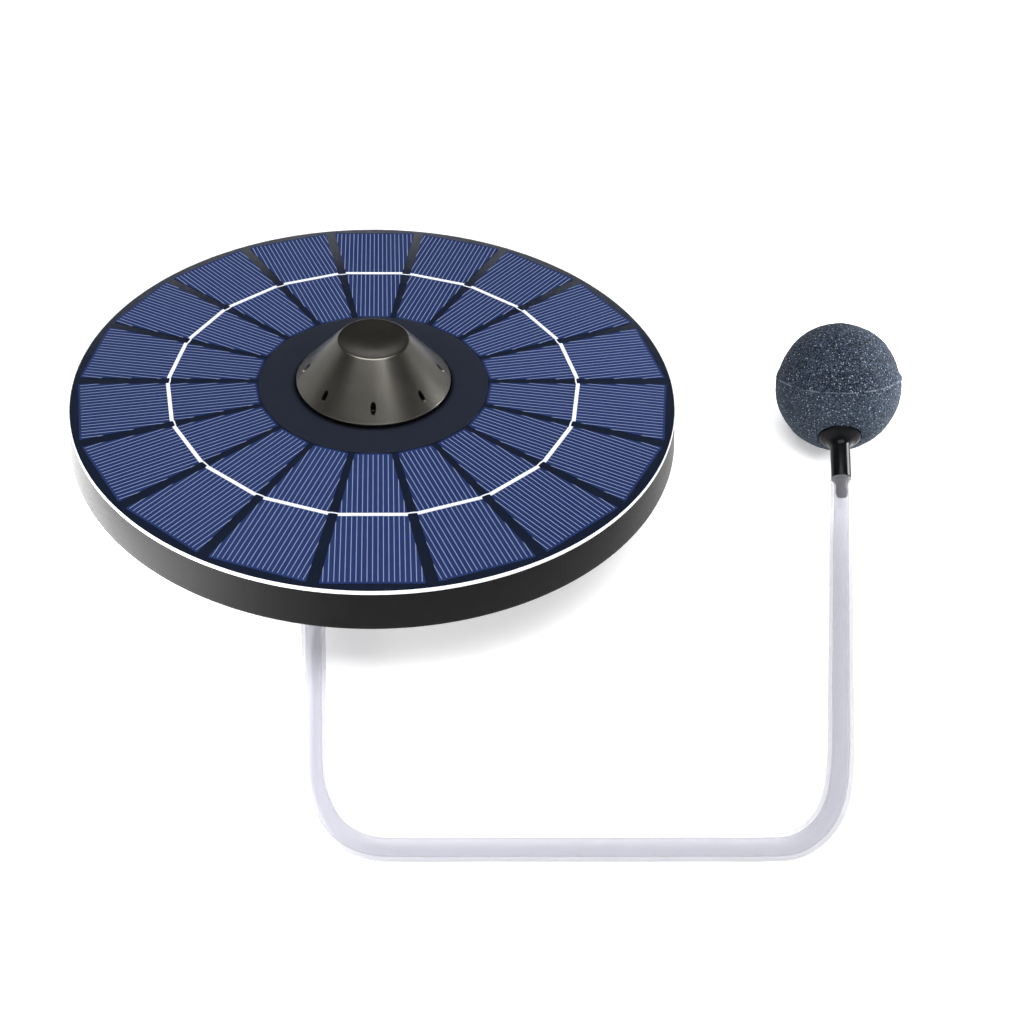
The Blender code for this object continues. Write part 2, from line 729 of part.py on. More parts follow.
# ---------------------------------------------------------------- diaphragm pump
def make_rod():
    """The rod rises and falls with the diaphragm; the crank pin runs in its wide eye."""
    eye_outer = ROD_EYE_RADIUS + 0.0014
    stem_half = 0.0016
    foot_low = 0.0129
    foot_half = 0.0028
    foot_high = foot_low + 0.0009
    meet = math.degrees(math.asin(stem_half / eye_outer))
    outline = arc(eye_outer, -90 + meet, 270 - meet, 24)
    outline = [(x, y + MOTOR_Z) for x, y in outline]
    outline += [
        (-stem_half, foot_high),
        (-foot_half, foot_high),
        (-foot_half, foot_low),
        (foot_half, foot_low),
        (foot_half, foot_high),
        (stem_half, foot_high),
    ]
    hole = circle(ROD_EYE_RADIUS, 24, (0.0, MOTOR_Z))
    half = ROD_THICKNESS / 2
    along_x(plate("connecting_rod", [outline, hole], -half, half, NYLON_WHITE), ROD_X)


def make_pump_head():
    body = cylinder("valve_body", PUMP_RADIUS, PUMP_BASE_Z, PUMP_TOP_Z, GREY_PLASTIC, 32)
    body.location.x = PUMP_X
    spigot = cylinder("outlet_spigot", 0.0013, 0.0085, 0.0121, None, 12)
    combine(body, along_minus_y(spigot, PUMP_X - PORT_OFFSET, OUTLET_DUCT_Z), "UNION")
    cuts = (
        ("chamber", 0.0075, CHAMBER_FLOOR_Z, 0.0100, 0.0),
        ("intake_port", 0.0014, 0.0050, 0.0075, PORT_OFFSET),
        ("outlet_port", 0.0011, 0.0055, 0.0075, -PORT_OFFSET),
        ("outlet_pocket", 0.0027, 0.0045, 0.0061, -PORT_OFFSET),
    )
    for name, radius, low, high, offset in cuts:
        cut = cylinder(name, radius, low, high, None, 16)
        cut.location.x = PUMP_X + offset
        combine(body, cut, "DIFFERENCE")
    duct = cylinder("outlet_duct", 0.0007, 0.0010, 0.0130, None, 8)
    combine(body, along_minus_y(duct, PUMP_X - PORT_OFFSET, OUTLET_DUCT_Z), "DIFFERENCE")
    inlet = cylinder("intake_duct", 0.0010, PORT_OFFSET, 0.0110, None, 8)
    combine(body, along_x(inlet, PUMP_X, 0.0, INTAKE_DUCT_Z), "DIFFERENCE")

    rim = PUMP_RADIUS - 0.0002
    diaphragm = [
        (0.0, 0.0126),
        (0.0032, 0.0126),
        (0.0036, 0.0114),
        (0.0054, 0.0121),
        (0.0072, 0.0111),
        (rim, 0.0111),
        (rim, 0.0099),
        (0.0070, 0.0099),
        (0.0054, 0.0110),
        (0.0036, 0.0102),
        (0.0, 0.0102),
    ]
    turned("diaphragm", diaphragm, RUBBER, steps=24).location.x = PUMP_X
    tube("clamp_ring", PUMP_RADIUS, 0.0078, 0.0114, 0.0125, STEEL, 24).location.x = PUMP_X

    intake = plate("intake_flap", [flap_outline(1)], INTAKE_FLAP_Z, INTAKE_FLAP_Z + FLAP_THICKNESS, RUBBER)
    intake.location.x = PUMP_X + PORT_OFFSET
    outlet = plate("outlet_flap", [flap_outline(-1)], OUTLET_FLAP_Z, OUTLET_FLAP_Z + FLAP_THICKNESS, RUBBER)
    outlet.location.x = PUMP_X - PORT_OFFSET


def flap_outline(hinge_side):
    """A round flap with a straight edge on the side where it bends."""
    straight = FLAP_RADIUS * 0.8
    return [(max(-straight, x) * -hinge_side, y) for x, y in circle(FLAP_RADIUS, 16)][::-hinge_side]


def make_air_path():
    start = -0.0001 - BOSS_FACE_Y
    barb = [
        (0.0033, -BARB_FACE_Y),
        (0.0034, start + 0.0003),
        (0.0015, start + 0.0003),
        (0.0015, 0.0222),
        (0.0009, 0.0222),
        (0.0009, -BARB_FACE_Y),
    ]
    along_minus_y(turned("outlet_barb", barb, BLACK_PLASTIC, 20, ring=True), BARB_X, BARB_Z)
    route = smooth_route(INNER_TUBE_ROUTE, 0.0022)
    round_wire("inner_air_tube", route, INNER_TUBE_RADIUS, CLEAR_HOSE)


# ---------------------------------------------------------------- wiring
def make_wiring():
    outline = [(-0.009, 0.014), (0.009, 0.014), (0.009, 0.0235), (-0.009, 0.0235)]
    plate("diode_board", [outline], 0.0290, 0.0300, BOARD_GREEN)
    for name, side, colour in (("lead_red", 1, LEAD_RED), ("lead_black", -1, LEAD_BLACK)):
        shift = side * LEAD_PITCH / 2
        route = [(x - 0.6 * shift, y + shift, z) for x, y, z in LEAD_ROUTE]
        round_wire(name, smooth_route(route, 0.004), LEAD_RADIUS, colour)


# ---------------------------------------------------------------- hose and stone
def make_hose():
    """The free hose, from the barb's face down to the floor, round and up to the stone's stem."""
    stem_face = STONE_CENTRE + STEM_DIRECTION * (STEM_END + 0.0003)
    route = [Vector(point) for point in HOSE_ROUTE] + [stem_face]
    points = smooth_route(route, HOSE_SPACING)
    hose = round_wire("air_hose", points, HOSE_RADIUS, CLEAR_HOSE)
    hose.data.bevel_resolution = 3


def make_stone():
    """A ball a little longer along its stem, with a seat for the stem's flange."""
    work = bmesh.new()
    bmesh.ops.create_uvsphere(work, u_segments=24, v_segments=16, radius=STONE_RADIUS)
    mesh = bpy.data.meshes.new("air_stone")
    work.to_mesh(mesh)
    work.free()
    mesh.transform(Matrix.Diagonal((1.0, 1.0, STONE_HALF_LENGTH / STONE_RADIUS, 1.0)))
    stone = add_object("air_stone", mesh, STONE_GREY)
    aim = STEM_DIRECTION.to_track_quat("Z", "Y").to_euler()
    stone.location = STONE_CENTRE
    stone.rotation_euler = aim
    socket_low = FLANGE_BASE - 0.0003
    socket = cylinder("stone_socket", FLANGE_RADIUS + 0.0003, socket_low, 0.0200, None, 24)
    hole = cylinder("stone_hole", 0.0025, 0.0080, 0.0200, None, 16)
    for cutter in (socket, hole):
        cutter.location = STONE_CENTRE
        cutter.rotation_euler = aim
        combine(stone, cutter, "DIFFERENCE")
    stem = [
        (STEM_RADIUS, STEM_END),
        (STEM_RADIUS, FLANGE_BASE + 0.0040),
        (STEM_RADIUS + 0.0009, FLANGE_BASE + 0.0027),
        (FLANGE_RADIUS - 0.0010, FLANGE_BASE + 0.0021),
        (FLANGE_RADIUS, FLANGE_BASE + 0.0013),
        (FLANGE_RADIUS, FLANGE_BASE),
        (0.0022, FLANGE_BASE),
        (0.0022, 0.0090),
        (0.0010, 0.0090),
        (0.0010, STEM_END),
    ]
    stem_piece = turned("stone_stem", stem, GLOSS_BLACK, steps=20, ring=True)
    stem_piece.location = STONE_CENTRE
    stem_piece.rotation_euler = aim


clear_scene()
PUMP = new_collection("floating_air_pump")
CUTTERS = new_collection("cutters")

BLACK_PLASTIC = new_material("black_plastic", (0.020, 0.020, 0.021), 0.45)
WHITE_PLASTIC = new_material("white_plastic", (0.86, 0.87, 0.88), 0.35)
WHITE_FOAM = new_material("white_foam", (0.80, 0.80, 0.78), 0.90)
PANEL_BLACK = new_material("panel_black", (0.010, 0.014, 0.026), 0.30)
HUB_PLASTIC = new_material("hub_plastic", (0.018, 0.023, 0.038), 0.40)
CELL_BLUE = new_material("cell_blue", (0.030, 0.055, 0.180), 0.25)
BUSBAR_SILVER = new_material("busbar_silver", (0.90, 0.90, 0.88), 0.35, 0.3)
CAP_METAL = new_material("cap_metal", (0.070, 0.066, 0.060), 0.32, 0.7)
SPONGE_GREY = new_material("sponge_grey", (0.10, 0.10, 0.10), 0.95)
GREY_PLASTIC = new_material("grey_plastic", (0.25, 0.26, 0.27), 0.50)
RUBBER = new_material("rubber", (0.030, 0.030, 0.030), 0.70)
STEEL = new_material("steel", (0.55, 0.56, 0.57), 0.30, 1.0)
BRONZE = new_material("bronze", (0.55, 0.36, 0.16), 0.40, 1.0)
BRASS = new_material("brass", (0.70, 0.52, 0.22), 0.35, 1.0)
COPPER = new_material("copper", (0.62, 0.30, 0.16), 0.38, 1.0)
FERRITE = new_material("ferrite", (0.08, 0.08, 0.08), 0.60)
NYLON_WHITE = new_material("nylon_white", (0.78, 0.77, 0.72), 0.45)
BOARD_GREEN = new_material("board_green", (0.03, 0.16, 0.07), 0.45)
LEAD_RED = new_material("lead_red", (0.55, 0.03, 0.03), 0.45)
LEAD_BLACK = new_material("lead_black", (0.02, 0.02, 0.02), 0.45)
CLEAR_HOSE = new_material("clear_hose", (0.82, 0.82, 0.86), 0.25)
STONE_GREY = new_material("stone_grey", (0.055, 0.075, 0.105), 0.90)
GLOSS_BLACK = new_material("gloss_black", (0.012, 0.012, 0.012), 0.18)

make_hull()
make_panel()
make_cap()
make_intake()
make_housing()
make_base_cover()
make_motor()
make_rotor()
make_motor_mount()
make_rod()
make_pump_head()
make_air_path()
make_wiring()
make_hose()
make_stone()
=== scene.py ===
"""Looks for the floating solar air pump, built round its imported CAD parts.

Metres, in the row frame. Each fine piece stands for the CAD parts that it replaces. Every
other CAD part keeps its shape and gets a finish of its own.
"""

import json
import math

import bmesh
import bpy
from mathutils import Matrix, Vector, noise


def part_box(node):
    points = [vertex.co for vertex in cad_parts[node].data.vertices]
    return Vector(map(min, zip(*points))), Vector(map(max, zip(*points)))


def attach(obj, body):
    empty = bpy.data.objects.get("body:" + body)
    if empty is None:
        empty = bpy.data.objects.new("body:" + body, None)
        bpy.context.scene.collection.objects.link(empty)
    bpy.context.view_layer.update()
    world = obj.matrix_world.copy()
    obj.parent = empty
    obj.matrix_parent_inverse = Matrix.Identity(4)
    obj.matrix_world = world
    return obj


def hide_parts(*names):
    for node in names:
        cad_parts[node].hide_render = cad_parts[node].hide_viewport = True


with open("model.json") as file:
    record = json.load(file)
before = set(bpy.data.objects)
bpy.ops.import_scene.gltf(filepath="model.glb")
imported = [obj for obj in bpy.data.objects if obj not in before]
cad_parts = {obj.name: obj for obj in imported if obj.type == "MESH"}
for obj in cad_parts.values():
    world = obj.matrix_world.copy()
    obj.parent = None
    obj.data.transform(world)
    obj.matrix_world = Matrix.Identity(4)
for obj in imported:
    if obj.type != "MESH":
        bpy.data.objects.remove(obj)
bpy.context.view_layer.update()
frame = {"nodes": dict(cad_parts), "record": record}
SLOT_OF = {part["node"]: part["material_slot"] for part in frame["record"]["subparts"]}
FULL_TURN = math.tau


# ------------------------ camera, floor and light
CAMERA_PLACE = (0.0020, -0.3033, 0.2519)
CAMERA_DOWN = math.radians(41.293)
CAMERA_YAW = math.radians(1.679)
CAMERA_ROLL = math.radians(1.043)
CAMERA_LENS = 49.073
CAMERA_SHIFT = 0.0977

SKY_STRENGTH = 0.09
FLOOR_FLAT = 1.1
SWEEP_RADIUS = 0.8
SWEEP_STEPS = 12
FLOOR_GLOW = 0.38
GLOW_FULL, GLOW_GONE = 0.35, 0.75
# The lamps that the hull's wall mirrors: their angle round the disc in degrees, and their watts.
SIDE_LAMPS = ((186.0, 0.22), (214.0, 0.78))
SIDE_LAMP_OUT, SIDE_LAMP_HIGH, SIDE_LAMP_SIZE = 0.155, 0.030, 0.12


def make_camera():
    forward = Vector((
        math.sin(CAMERA_YAW) * math.cos(CAMERA_DOWN),
        math.cos(CAMERA_YAW) * math.cos(CAMERA_DOWN),
        -math.sin(CAMERA_DOWN),
    ))
    level = Vector((math.cos(CAMERA_YAW), -math.sin(CAMERA_YAW), 0.0))
    upright = level.cross(forward)
    right = math.cos(CAMERA_ROLL) * level + math.sin(CAMERA_ROLL) * upright
    up = math.cos(CAMERA_ROLL) * upright - math.sin(CAMERA_ROLL) * level
    camera = bpy.data.objects.new("camera", bpy.data.cameras.new("camera"))
    camera.data.lens = CAMERA_LENS
    camera.data.shift_x = CAMERA_SHIFT
    camera.data.clip_start = 0.01
    turn = Matrix((right, up, -forward)).transposed().to_4x4()
    camera.matrix_world = Matrix.Translation(CAMERA_PLACE) @ turn
    bpy.context.scene.collection.objects.link(camera)
    bpy.context.scene.camera = camera


def make_softbox(name, place, aim, size, power, spread=180.0):
    """A rectangular lamp that faces a point and doesn't show itself. Its spread is in degrees."""
    lamp = bpy.data.objects.new(name, bpy.data.lights.new(name, "AREA"))
    lamp.data.shape = "RECTANGLE"
    lamp.data.size, lamp.data.size_y = size
    lamp.data.energy = power
    lamp.data.spread = math.radians(spread)
    lamp.location = place
    lamp.rotation_euler = (Vector(aim) - Vector(place)).to_track_quat("-Z", "Y").to_euler()
    lamp.visible_camera = False
    bpy.context.scene.collection.objects.link(lamp)


def make_studio():
    """A round pale floor that sweeps up on all sides, a dim sky, and softboxes.

    The floor gives off a little light round the object, so that its shadows stay faint.
    """
    world = bpy.data.worlds.new("studio")
    world.use_nodes = True
    sky = world.node_tree.nodes["Background"]
    sky.inputs["Color"].default_value = (1.0, 1.0, 1.0, 1.0)
    sky.inputs["Strength"].default_value = SKY_STRENGTH
    bpy.context.scene.world = world
    bpy.context.scene.view_settings.view_transform = "Standard"
    make_softbox(
        "key_light", place=(-0.05, -0.40, 1.85), aim=(0.03, -0.05, 0.0), size=(2.2, 1.3), power=62.0
    )
    make_softbox(
        "front_light", place=(0.05, -1.10, 1.00), aim=(0.0, 0.0, 0.03), size=(2.0, 0.35), power=0.3
    )
    make_softbox(
        "stone_light",
        place=(0.235, 0.030, 0.050),
        aim=STONE_CENTRE,
        size=(0.06, 0.06),
        power=0.035,
        spread=50.0,
    )
    for index, (angle, power) in enumerate(SIDE_LAMPS):
        out = Vector((math.cos(math.radians(angle)), math.sin(math.radians(angle)), 0.0))
        foot = out * SIDE_LAMP_OUT
        place = foot + Vector((0.0, 0.0, SIDE_LAMP_HIGH))
        size = (SIDE_LAMP_SIZE, SIDE_LAMP_SIZE)
        make_softbox(f"side_light_{index + 1}", place, foot, size, power)

    finish = Finish("studio_floor")
    tone = finish.mix(finish.noise(0.25), (0.86, 0.86, 0.86), (0.90, 0.90, 0.90))
    from_middle = finish.vector_maths("LENGTH", finish.place, (0.0, 0.0, 0.0), "Value")
    finish.set(**{
        "Base Color": tone,
        "Roughness": 0.9,
        "Specular IOR Level": 0.1,
        "Emission Color": (1.0, 1.0, 1.0),
        "Emission Strength": finish.spread(from_middle, GLOW_FULL, GLOW_GONE, FLOOR_GLOW, 0.0),
    })
    profile = [(0.0, 0.0)]
    profile += [(FLOOR_FLAT * share, 0.0) for share in (0.1, 0.3, 0.6, 1.0)]
    for step in range(1, SWEEP_STEPS + 1):
        angle = math.radians(90 * step / SWEEP_STEPS)
        profile.append((
            FLOOR_FLAT + SWEEP_RADIUS * math.sin(angle),
            SWEEP_RADIUS * (1 - math.cos(angle)),
        ))
    floor = mesh_object("studio_floor", *turned_faces(profile[::-1], 96), finish.material)


# ------------------------ mesh tools
SHARP = 32.0


def mesh_object(name, points, faces, materials, sharp=SHARP, place=None):
    """A smooth-shaded mesh in the row frame. Edges over the sharp angle, in degrees, stay crisp."""
    mesh = bpy.data.meshes.new(name)
    mesh.from_pydata([tuple(point) for point in points], [], faces)
    if place is not None:
        mesh.transform(place)
    for material in materials if isinstance(materials, list) else [materials]:
        mesh.materials.append(material)
    mesh.shade_smooth()
    mesh.set_sharp_from_angle(angle=math.radians(sharp))
    mesh.validate()
    obj = bpy.data.objects.new(name, mesh)
    bpy.context.scene.collection.objects.link(obj)
    return obj


def settle(obj, body, slot, *nodes):
    """Puts a finished piece on its body and hides the CAD parts it stands for. Its slot is not
    used.
    """
    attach(obj, body)
    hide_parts(*nodes)
    return obj


def rounded(outline, radius, segments=4, closed=False):
    """The outline with each corner turned into a curve; radius is one size or a list of them."""
    count = len(outline)
    radii = radius if isinstance(radius, list) else [radius] * count
    result = []
    for index, corner in enumerate(outline):
        if radii[index] == 0 or (not closed and index in (0, count - 1)):
            result.append(tuple(corner))
            continue
        here = Vector(corner)
        before = Vector(outline[index - 1]) - here
        after = Vector(outline[(index + 1) % count]) - here
        reach = min(radii[index], 0.45 * before.length, 0.45 * after.length)
        start = here + before.normalized() * reach
        end = here + after.normalized() * reach
        for step in range(segments + 1):
            share = step / segments
            result.append(tuple(start.lerp(here, share).lerp(here.lerp(end, share), share)))
    return result


def turned_faces(profile, steps, closed=False):
    """Points and faces of a turned shape. Its profile of (radius, height) runs down outside."""
    points, rings, faces = [], [], []
    for radius, height in profile:
        first = len(points)
        if radius < 1e-7:
            points.append((0.0, 0.0, height))
            rings.append([first] * steps)
            continue
        for step in range(steps):
            angle = FULL_TURN * step / steps
            points.append((radius * math.cos(angle), radius * math.sin(angle), height))
        rings.append(list(range(first, first + steps)))
    pairs = list(zip(rings, rings[1:]))
    if closed:
        pairs.append((rings[-1], rings[0]))
    for upper, lower in pairs:
        for step in range(steps):
            after = (step + 1) % steps
            corners = dict.fromkeys((upper[step], lower[step], lower[after], upper[after]))
            if len(corners) > 2:
                faces.append(tuple(corners))
    return points, faces


def turned(name, profile, material, steps, closed=False, place=None):
    points, faces = turned_faces(profile, steps, closed)
    return mesh_object(name, points, faces, material, place=place)


def turned_piece(
    name, slot, node, outline, corners, steps, segments=4, closed=True, place=None
):
    """A turned piece on the hull's body, with its corners rounded, that stands for one part."""
    profile = rounded(outline, corners, segments, closed)
    piece = turned(name, profile, FINISHES[slot], steps, closed, place)
    return settle(piece, "hull", slot, node)


def smooth_route(route, spacing, substeps=24):
    """Points an even distance apart on a Catmull-Rom curve through the route's own points."""
    knots = [Vector(point) for point in route]
    knots = [2 * knots[0] - knots[1], *knots, 2 * knots[-1] - knots[-2]]
    fine = []
    for before, start, end, after in zip(knots, knots[1:], knots[2:], knots[3:]):
        for step in range(substeps):
            t = step / substeps
            curve = (2 * before - 5 * start + 4 * end - after) * t**2
            twist = (3 * start - 3 * end + after - before) * t**3
            fine.append(0.5 * (2 * start + (end - before) * t + curve + twist))
    fine.append(knots[-2])
    lengths = [0.0]
    for a, b in zip(fine, fine[1:]):
        lengths.append(lengths[-1] + (b - a).length)
    count = max(2, round(lengths[-1] / spacing))
    points, index = [], 0
    for step in range(count + 1):
        wanted = lengths[-1] * step / count
        while index < len(fine) - 2 and lengths[index + 1] < wanted:
            index += 1
        share = (wanted - lengths[index]) / (lengths[index + 1] - lengths[index])
        points.append(fine[index].lerp(fine[index + 1], min(share, 1.0)))
    return points


def swept_tube(name, path, outer, inner, sides, materials):
    """A hollow hose along a path, with flat ends. Its bore takes the second material."""
    points, faces, slots = [], [], []
    side = Vector((0.0, 0.0, 1.0))
    for index, place in enumerate(path):
        ahead = path[min(index + 1, len(path) - 1)] - path[max(index - 1, 0)]
        ahead.normalize()
        side = (side - ahead * side.dot(ahead)).normalized()
        other = ahead.cross(side)
        for radius in (outer, inner):
            for step in range(sides):
                angle = FULL_TURN * step / sides
                out = side * math.cos(angle) + other * math.sin(angle)
                points.append(place + radius * out)
    ring = 2 * sides
    for index in range(len(path) - 1):
        a, b = index * ring, (index + 1) * ring
        for step in range(sides):
            after = (step + 1) % sides
            bore_step, bore_after = sides + step, sides + after
            faces.append((a + step, a + after, b + after, b + step))
            faces.append((a + bore_step, b + bore_step, b + bore_after, a + bore_after))
            slots += [0, 1]
    last = (len(path) - 1) * ring
    for step in range(sides):
        after = (step + 1) % sides
        bore_step, bore_after = sides + step, sides + after
        faces.append((step, bore_step, bore_after, after))
        faces.append((last + step, last + after, last + bore_after, last + bore_step))
        slots += [0, 0]
    tube = mesh_object(name, points, faces, materials, sharp=60.0)
    tube.data.polygons.foreach_set("material_index", slots)
    return tube


def cut(target, cutter):
    """Takes the cutter away from the target for good, and removes it."""
    modifier = target.modifiers.new("cut", "BOOLEAN")
    modifier.solver = "EXACT"
    modifier.object = cutter
    bpy.context.view_layer.update()
    graph = bpy.context.evaluated_depsgraph_get()
    mesh = bpy.data.meshes.new_from_object(target.evaluated_get(graph), depsgraph=graph)
    target.modifiers.clear()
    target.data = mesh
    bpy.data.objects.remove(cutter)
    mesh.shade_smooth()
    mesh.set_sharp_from_angle(angle=math.radians(SHARP))


# ------------------------ material tools
class Finish:
    """One material, with short calls for the nodes that its look is made of."""

    def __init__(self, name):
        self.name = name
        self.material = bpy.data.materials.new(name)
        self.material.use_nodes = True
        self.tree = self.material.node_tree
        self.shader = self.tree.nodes["Principled BSDF"]
        self.output = self.tree.nodes["Material Output"]
        self.place = self.node("ShaderNodeTexCoord").outputs["Object"]

    def node(self, kind, **settings):
        made = self.tree.nodes.new(kind)
        for key, value in settings.items():
            setattr(made, key, value)
        return made

    def feed(self, socket, value):
        if isinstance(value, bpy.types.NodeSocket):
            self.tree.links.new(value, socket)
        elif isinstance(value, tuple) and len(value) == 3 and socket.type == "RGBA":
            socket.default_value = (*value, 1.0)
        else:
            socket.default_value = value

    def set(self, **values):
        for key, value in values.items():
            self.feed(self.shader.inputs[key], value)
        return self

    def noise(self, size, detail=3.0, stretch=None):
        """Soft noise from 0 to 1 whose lumps are about this size in metres."""
        made = self.node("ShaderNodeTexNoise")
        made.inputs["Scale"].default_value = 1.0 / size
        made.inputs["Detail"].default_value = detail
        where = self.place
        if stretch is not None:
            mapping = self.node("ShaderNodeMapping")
            mapping.inputs["Scale"].default_value = stretch
            self.feed(mapping.inputs["Vector"], where)
            where = mapping.outputs[0]
        self.feed(made.inputs["Vector"], where)
        return made.outputs[0]

    def cells(self, size):
        """Distance from the nearest of many scattered points, about this far apart."""
        made = self.node("ShaderNodeTexVoronoi")
        made.inputs["Scale"].default_value = 1.0 / size
        self.feed(made.inputs["Vector"], self.place)
        return made.outputs["Distance"]

    def maths(self, operation, a, b=0.0):
        made = self.node("ShaderNodeMath", operation=operation)
        self.feed(made.inputs[0], a)
        self.feed(made.inputs[1], b)
        return made.outputs[0]

    def vector_maths(self, operation, a, b, result):
        made = self.node("ShaderNodeVectorMath", operation=operation)
        self.feed(made.inputs[0], a)
        made.inputs[1].default_value = b
        return made.outputs[result]

    def off_axis(self):
        """How far the place is from the upright axis through the disc's middle."""
        flat = self.vector_maths("MULTIPLY", self.place, (1.0, 1.0, 0.0), "Vector")
        return self.vector_maths("LENGTH", flat, (0.0, 0.0, 0.0), "Value")

    def ripple(self, size, low, high, detail=4.0):
        """Noise that wanders smoothly between two values."""
        return self.spread(self.noise(size, detail), 0.3, 0.7, low, high)

    def spread(self, value, low, high, to_low=0.0, to_high=1.0):
        """The value from low to high turned smoothly into to_low to to_high."""
        made = self.node("ShaderNodeMapRange", interpolation_type="SMOOTHSTEP")
        for index, number in enumerate((value, low, high, to_low, to_high)):
            self.feed(made.inputs[index], number)
        return made.outputs[0]

    def mix(self, share, a, b):
        """Colour a where the share is 0, and colour b where it is 1."""
        made = self.node("ShaderNodeMix", data_type="RGBA")
        self.feed(made.inputs[0], share)
        self.feed(made.inputs[6], a)
        self.feed(made.inputs[7], b)
        return made.outputs[2]

    def bump(self, height, depth, strength=1.0):
        made = self.node("ShaderNodeBump")
        made.inputs["Strength"].default_value = strength
        made.inputs["Distance"].default_value = depth
        self.feed(made.inputs["Height"], height)
        return made.outputs[0]

    def facing(self, blend):
        """0 where the surface is seen square on, and 1 where it's seen edge on."""
        made = self.node("ShaderNodeLayerWeight")
        made.inputs["Blend"].default_value = blend
        return made.outputs["Facing"]


def shade(colour, factor):
    return tuple(min(1.0, channel * factor) for channel in colour)


def moulded(name, colour, roughness, grain=0.0004, depth=0.00002, level=0.4, change=0.2):
    """Moulded plastic or rubber: a fine grain, a slow drift of tone and smoother patches."""
    finish = Finish(name)
    drift = finish.noise(0.012, 3.0)
    speck = finish.noise(grain, 2.0)
    tone = finish.mix(drift, shade(colour, 1 - change), shade(colour, 1 + change))
    tone = finish.mix(finish.spread(speck, 0.35, 0.75, 0.0, 0.35), tone, shade(colour, 1.5))
    wear = finish.ripple(0.006, roughness - 0.06, roughness + 0.08)
    finish.set(**{
        "Base Color": tone,
        "Roughness": wear,
        "Specular IOR Level": level,
        "Normal": finish.bump(speck, depth),
    })
    return finish


def worked_metal(name, colour, roughness):
    """Machined or drawn metal: long fine scratches one way, and slight stains."""
    finish = Finish(name)
    scratch = finish.noise(0.0006, 3.0, stretch=(1.0, 8.0, 8.0))
    stain = finish.noise(0.005, 4.0)
    tone = finish.mix(stain, shade(colour, 0.85), shade(colour, 1.15))
    wear = finish.spread(scratch, 0.3, 0.7, roughness - 0.08, roughness + 0.10)
    finish.set(**{
        "Base Color": tone,
        "Metallic": 1.0,
        "Roughness": wear,
        "Normal": finish.bump(scratch, 0.000008),
    })
    return finish


# ------------------------ finishes
# A pair of colours is the two ends that a finish drifts between.
CELL_BLUES = (0.0130, 0.0240, 0.083), (0.0160, 0.0290, 0.096)
CRYSTAL_BLUE = (0.010, 0.020, 0.074)
FINGER_SILVERS = (0.185, 0.225, 0.375), (0.235, 0.280, 0.430)
FINGER_FULL, FINGER_GONE = 0.035, 0.105
FINGER_MARGIN, FINGER_FADE = 0.0004, 0.0003
HULL_BLACK = (0.0075, 0.0073, 0.0073)
CAP_METALS = (0.106, 0.101, 0.089), (0.116, 0.111, 0.099)
LATHE_MARKS_PER_METRE = 4500.0
GRAIN_DARK, GRAIN_PALE = (0.0007, 0.0015, 0.0050), (0.047, 0.066, 0.098)
GRIT_PATCH = (0.0060, 0.0100, 0.0190)
# Painted glints: pale specks in the grit's colour that stand in for sparkle.
PAINTED_GLINT = (0.50, 0.55, 0.60)
GRIT_LOWER = (0.095, 0.125, 0.165)
GRIT_SEAM = (0.190, 0.225, 0.260)
SEAM_LINE = 0.0003
HOSE_MILK, HOSE_TINT = (0.42, 0.42, 0.44), (0.915, 0.915, 0.93)
# The bore's milk and tint, a touch bluer and dimmer than the outside's, are painted shade inside
# the hose.
BORE_SHADED_MILK, BORE_SHADED_TINT = (0.42, 0.42, 0.46), (0.905, 0.905, 0.93)
PANEL_BLACK = (0.0055, 0.0088, 0.0190)
PANEL_LEVEL, PANEL_COAT = 0.10, 0.06
HUB_BLACK = (0.0128, 0.0155, 0.0248)
# Painted shade on the hub round the cap's foot: its colour, then where it starts and ends outside
# the cap.
HUB_PAINTED_SHADE = (0.0008, 0.0009, 0.0012)
PAINTED_SHADE_START, PAINTED_SHADE_END = 0.0001, 0.0016


def cell_finish():
    """Blue silicon with pale finger lines. The UV map holds metres along and across the cell."""
    finish = Finish("cell_blue")
    where = finish.node("ShaderNodeUVMap", uv_map="CellMetres").outputs[0]
    parts = finish.node("ShaderNodeSeparateXYZ")
    finish.feed(parts.inputs[0], where)
    along, across = parts.outputs[0], parts.outputs[1]
    count = finish.maths("ADD", finish.maths("DIVIDE", across, FINGER_PITCH), 0.5)
    off = finish.maths("ABSOLUTE", finish.maths("SUBTRACT", finish.maths("FRACT", count), 0.5))
    line = finish.spread(off, FINGER_FULL, FINGER_GONE, 1.0, 0.0)
    tip = CELL_LENGTH / 2 - FINGER_MARGIN
    end = finish.spread(finish.maths("ABSOLUTE", along), tip - FINGER_FADE, tip, 1.0, 0.0)
    line = finish.maths("MULTIPLY", line, end)
    tone = finish.node("ShaderNodeAttribute", attribute_name="tone").outputs["Fac"]
    base = finish.mix(tone, *CELL_BLUES)
    crystal = finish.spread(finish.cells(0.0032), 0.1, 0.9, 0.0, 0.22)
    base = finish.mix(crystal, base, CRYSTAL_BLUE)
    silver = finish.mix(finish.noise(0.0015), *FINGER_SILVERS)
    finish.set(**{
        "Base Color": finish.mix(line, base, silver),
        "Roughness": finish.ripple(0.004, 0.15, 0.22),
        "Specular IOR Level": 0.12,
        "Coat Weight": 0.08,
        "Coat Roughness": 0.12,
        "Coat Normal": finish.bump(finish.noise(0.006, 2.0), 0.00006, 0.4),
        "Normal": finish.bump(line, 0.00002),
    })
    return finish


def hull_finish():
    """Satin black plastic with a fine leather-like grain, and a finer wear than other mouldings."""
    finish = moulded(
        "hull_black", HULL_BLACK, 0.36, grain=0.00035, depth=0.00003, level=0.5, change=0.12
    )
    return finish.set(IOR=1.14, Roughness=finish.ripple(0.0009, 0.33, 0.38, detail=2.0))


